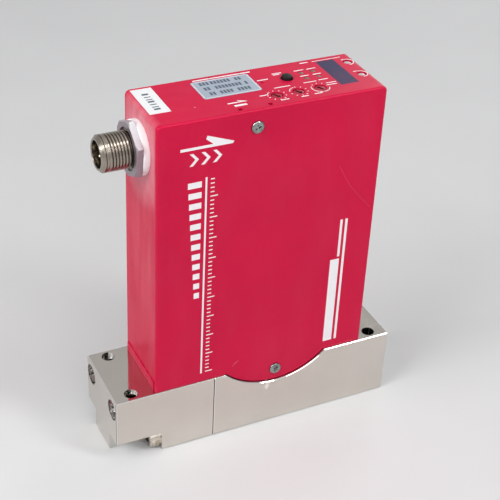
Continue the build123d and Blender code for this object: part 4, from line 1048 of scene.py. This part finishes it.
ruler = {"x": -19.9, "from": 29.4, "to": 106.0, "tick": 1.3, "width": 0.38, "pitch": 1.55, "longEvery": 5,
         "stretch": 1.95}
scale = growTree(tickRow, "front_scale", {
    "Count": int((ruler["to"] - ruler["from"]) / ruler["pitch"]) + 1,
    "Start": ((ruler["x"] + ruler["tick"] / 2) * mm, (panelFace - inkThick / 2) * mm, ruler["from"] * mm),
    "Step": (0, 0, ruler["pitch"] * mm), "Size": (ruler["tick"] * mm, inkThick * mm, ruler["width"] * mm),
    "Long every": ruler["longEvery"], "Long stretch": ruler["stretch"], "Slide": 0.5}, finishes["whiteInk"])
finishPiece(scale, mainBody, "label_white")

# wear: a scratch and a rubbed hairline on the front, and a nick on the top
wear = {"scratch": ((-9.8, 28.2), (-8.4, 29.54), (-7.0, 30.6), (-8.4, 29.76)),
        "hairline": ((25.6, 100.7), (27.8, 96.6), (30.4, 92.2), (33.7, 88.0), (36.2, 85.2), (39.1, 81.9)),
        "hairlineWidth": 0.34, "nick": ((-22.6, -5.5), (-22.0, -5.5), (-21.95, -5.2), (-22.5, -5.15))}
inkShapes("front_scratch", [wear["scratch"]], frontStand, "scratchPink", "red_paint")
outline = [*wear["hairline"], *((x + wear["hairlineWidth"], z) for x, z in reversed(wear["hairline"]))]
inkShapes("front_hairline", [outline], frontStand, "rubbedRed", "red_paint")
inkShapes("top_nick", [wear["nick"]], topStand, "scratchPink", "red_paint")

# top: arrow, dashes beside the controls and scales round the dials
topPrint = {
    "arrow": ((-12.0, -7.03), (-5.3, -7.03), (-7.9, -5.65), (-8.4, -5.85), (-7.3, -6.47), (-12.0, -6.47)),
    "dashes": [
        (-16.0, 10.9, 4.0, 11.5), (22.0, 10.9, 25.0, 11.45), (26.4, 10.95, 37.0, 11.25), (9.9, 7.0, 13.2, 7.45),
        (9.9, 6.2, 12.2, 6.65), (3.4, 4.25, 7.2, 4.75), (6.2, -2.3, 11.8, -1.85), (-0.5, -5.7, 2.2, -5.25),
        (4.6, -10.4, 7.4, -9.95), (11.6, -10.5, 14.2, -10.05), (16.4, -10.2, 19.2, -9.75),
        (16.6, -2.2, 21.2, -1.8), (22.2, -1.9, 25.6, -1.5), (23.4, -4.7, 27.0, -4.3), (23.2, -6.0, 26.6, -5.6),
        (17.6, 6.5, 21.0, 6.95), (22.1, 6.4, 25.4, 6.85), (17.8, 2.35, 20.8, 2.8), (22.3, 2.3, 25.2, 2.75),
        (36.2, 8.75, 37.6, 9.1), (35.7, -0.3, 37.3, 0.05), (-10.6, -9.3, -6.4, -8.3)],
    "arcWidth": 0.3, "buttonArc": (2.0, 100, -200),
    "dialRadius": 2.95, "dialArcs": ((120, 55), (100, 55), (150, 190)),
    "dialMarks": 10, "dialMarkFrom": 0.3, "dialMark": (0.42, 0.34),
}
dialSpots = [middleOf(node)[:2] for node in dialNodes]
outlines = [topPrint["arrow"]] + [bar(*dash) for dash in topPrint["dashes"]]
for arc, (x, y) in zip(topPrint["dialArcs"], dialSpots):
    outlines.append(arcBand(x, y, topPrint["dialRadius"], topPrint["arcWidth"], *arc))
arcRadius, *arc = topPrint["buttonArc"]
for side in ("rear", "front"):
    x, y, z = middleOf(f"display_button_{side}")
    outlines.append(arcBand(x, y, arcRadius, topPrint["arcWidth"], *arc))
inkShapes("top_marks", outlines, topStand, "whiteInk", "label_white")

long, wide = topPrint["dialMark"]
for number, (x, y) in enumerate(dialSpots, start=1):
    scale = growTree(marksOnRing, f"dial_scale_{number}", {
        "Count": topPrint["dialMarks"], "From": topPrint["dialMarkFrom"],
        "Radius": topPrint["dialRadius"] * mm, "Centre": (x * mm, y * mm, (coverTop + inkThick / 2) * mm),
        "Size": (long * mm, wide * mm, inkThick * mm)}, finishes["whiteInk"])
    finishPiece(scale, mainBody, "label_white")


# Stand on the lowest corner of a label's upper face
def labelStand(node):
    low, high = boxMm(node)
    return Matrix.Translation((low.x, low.y, high.z))


# labels carry rows of plain grey blocks
rating = {"pitch": 1.15, "length": 0.78, "foot": 0.2, "top": 1.8,
          "rows": {9.1: ((2.4, 3.2), (6.2, 7.4), (14.6, 2.0)), 5.6: ((2.6, 2.2), (6.4, 9.4), (16.6, 0.9)),
                   2.1: ((3.0, 1.8), (6.6, 4.4), (12.6, 4.2))},
          "margin": 0.15, "corner": 0.7, "edge": 0.45}
outlines = []
for y, words in rating["rows"].items():
    for x, length in words:
        for step in range(max(1, round(length / rating["pitch"]))):
            left = x + step * rating["pitch"]
            outlines.append(bar(left, y - rating["foot"], left + rating["length"], y + rating["top"]))
inkShapes("rating_label_blocks", outlines, labelStand("rating_label"), "greyInk", "label_silver")

labelLow, labelHigh = boxMm("rating_label")
wide, deep = labelHigh.x - labelLow.x, labelHigh.y - labelLow.y
near, corner = rating["margin"], rating["corner"]
far = near + rating["edge"]
border = [bar(corner, near, wide - corner, far), bar(corner, deep - far, wide - corner, deep - near),
          bar(near, corner, far, deep - corner), bar(wide - far, corner, wide - near, deep - corner)]
inkShapes("rating_label_border", border, labelStand("rating_label"), "paleInk", "label_silver")

serial = {"left": 2.4, "right": 4.5, "from": 2.2, "pitch": 1.7, "count": 7, "thin": 0.5, "thick": 0.95}
outlines = []
for step in range(serial["count"]):
    foot = serial["from"] + serial["pitch"] * step
    thick = serial["thin" if step % 3 else "thick"]
    outlines.append(bar(serial["left"], foot, serial["right"], foot + thick))
inkShapes("serial_label_blocks", outlines, labelStand("serial_label"), "greyInk", "label_white")
print("prints ready")

# Floor, light and camera

studio = {"floorSize": 6.0, "floorColor": (0.64, 0.645, 0.65), "floorPatch": 60, "floorShade": 0.97,
          "floorRoughness": 0.75, "skyLight": 0.36, "skyRim": 0.68, "skyLow": 0.50, "skyHigh": 0.95,
          "fadeFrom": 0.5, "fadeTo": 1.1}


# 1 for what a camera, a gloss or a glass sees directly, 0 for lighting
def seenDirectly(look):
    ray = look.node("ShaderNodeLightPath").outputs
    return look.most(ray["Is Camera Ray"], ray["Is Glossy Ray"], ray["Is Transmission Ray"])


# Pale floor that keeps the shadow near the piece and melts into the sky's rim far away
def paleFloor():
    color = studio["floorColor"]
    look = Finish("paleFloor", color, studio["floorRoughness"])
    shade = tuple(part * studio["floorShade"] for part in color)
    look.put("Base Color", look.blend(look.patches(studio["floorPatch"], 4, 0.3, 0.7), color, shade))
    far = look.ramp(look.length(look.coords), studio["fadeFrom"], studio["fadeTo"])
    glow = look.node("ShaderNodeEmission", {"Color": (studio["skyRim"],) * 3 + (1,)}).outputs[0]
    melt = look.node("ShaderNodeMixShader", {
        0: look.times(far, seenDirectly(look)), 1: look.shader.outputs[0], 2: glow}).outputs[0]
    look.tree.links.new(melt, look.tree.nodes["Material Output"].inputs["Surface"])
    half = studio["floorSize"] / 2 / mm
    corners = [(-half, -half, 0), (half, -half, 0), (half, half, 0), (-half, half, 0)]
    addMesh("floor", corners, [[0, 1, 2, 3]], look.material)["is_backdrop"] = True


# Rectangular soft lamp, places in metres
def softLamp(name, at, towards, width, height, power):
    lamp = bpy.data.lights.new(name, "AREA")
    lamp.shape = "RECTANGLE"
    lamp.size, lamp.size_y, lamp.energy = width, height, power
    obj = bpy.data.objects.new(name, lamp)
    obj.location = at
    obj.rotation_euler = (Vector(towards) - Vector(at)).to_track_quat("-Z", "Y").to_euler()
    bpy.context.scene.collection.objects.link(obj)


# World: an even level for lighting; a camera, gloss or glass sees a pale sky, lightest overhead and at the rim
def paleSky():
    world = bpy.data.worlds.new("paleSky")
    bpy.context.scene.world = world
    world.use_nodes = True
    world.node_tree.nodes.clear()
    sky = Graph(world.node_tree)
    up = sky.parts(sky.node("ShaderNodeTexCoord").outputs["Generated"])[2]
    haze = sky.ramp(up, 0.02, 0.32, studio["skyRim"], studio["skyLow"])
    above = sky.ramp(up, 0.6, 1.0, studio["skyLow"], studio["skyHigh"])
    shown = sky.node("ShaderNodeBackground", {"Color": sky.most(haze, above)}).outputs[0]
    light = sky.node("ShaderNodeBackground", {"Color": (1, 1, 1, 1), "Strength": studio["skyLight"]})
    pick = sky.node("ShaderNodeMixShader", {0: seenDirectly(sky), 1: light.outputs[0], 2: shown}).outputs[0]
    sky.node("ShaderNodeOutputWorld", {0: pick})


camera = {"azimuth": -27.145, "elevation": 33.546, "roll": 3.03, "at": (-161.594, -318.67, 302.496),
          "focalPixels": 1263.7, "imagePixels": 500, "opticalDrop": 1.0, "sensor": 36.0}


# Camera at that place in millimetres, looking against its azimuth and elevation, rolled in degrees
def addCamera(size):
    a, e, roll = (math.radians(size[key]) for key in ("azimuth", "elevation", "roll"))
    back = Vector((math.sin(a) * math.cos(e), -math.cos(a) * math.cos(e), math.sin(e)))
    right = Vector((math.cos(a), math.sin(a), 0))
    across = math.cos(roll) * right + math.sin(roll) * back.cross(right)
    data = bpy.data.cameras.new("view")
    data.sensor_width = size["sensor"]
    data.lens = size["focalPixels"] / size["imagePixels"] * size["sensor"]
    data.shift_y = size["opticalDrop"] / size["imagePixels"]
    data.clip_start, data.clip_end = 0.01, 20
    obj = bpy.data.objects.new("view", data)
    bpy.context.scene.collection.objects.link(obj)
    turn = Matrix((across, back.cross(across), back)).transposed().to_4x4()
    turn.translation = Vector(size["at"]) * mm
    obj.matrix_world = turn
    bpy.context.scene.camera = obj


paleFloor()
paleSky()
target = (0, 0, 0.07)
softLamp("keyLamp", (-0.65, -0.15, 0.62), target, 0.5, 0.5, 5.3)
softLamp("frontLamp", (-0.13, -0.72, 0.66), target, 0.6, 0.35, 2.0)
softLamp("fillLamp", (0.48, -0.57, 0.68), (0.03, 0, 0.03), 0.22, 0.27, 2.4)
softLamp("crestLamp", (0.30, -0.37, 0.85), (-0.045, 0, 0.11), 0.1, 0.4, 1.0)
softLamp("backLamp", (0.62, 0.56, 0.46), (0, 0, coverTop * mm), 0.36, 0.2, 1.05)
addCamera(camera)
bpy.context.scene.view_settings.view_transform = "Standard"
print("stage ready")

low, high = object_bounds()
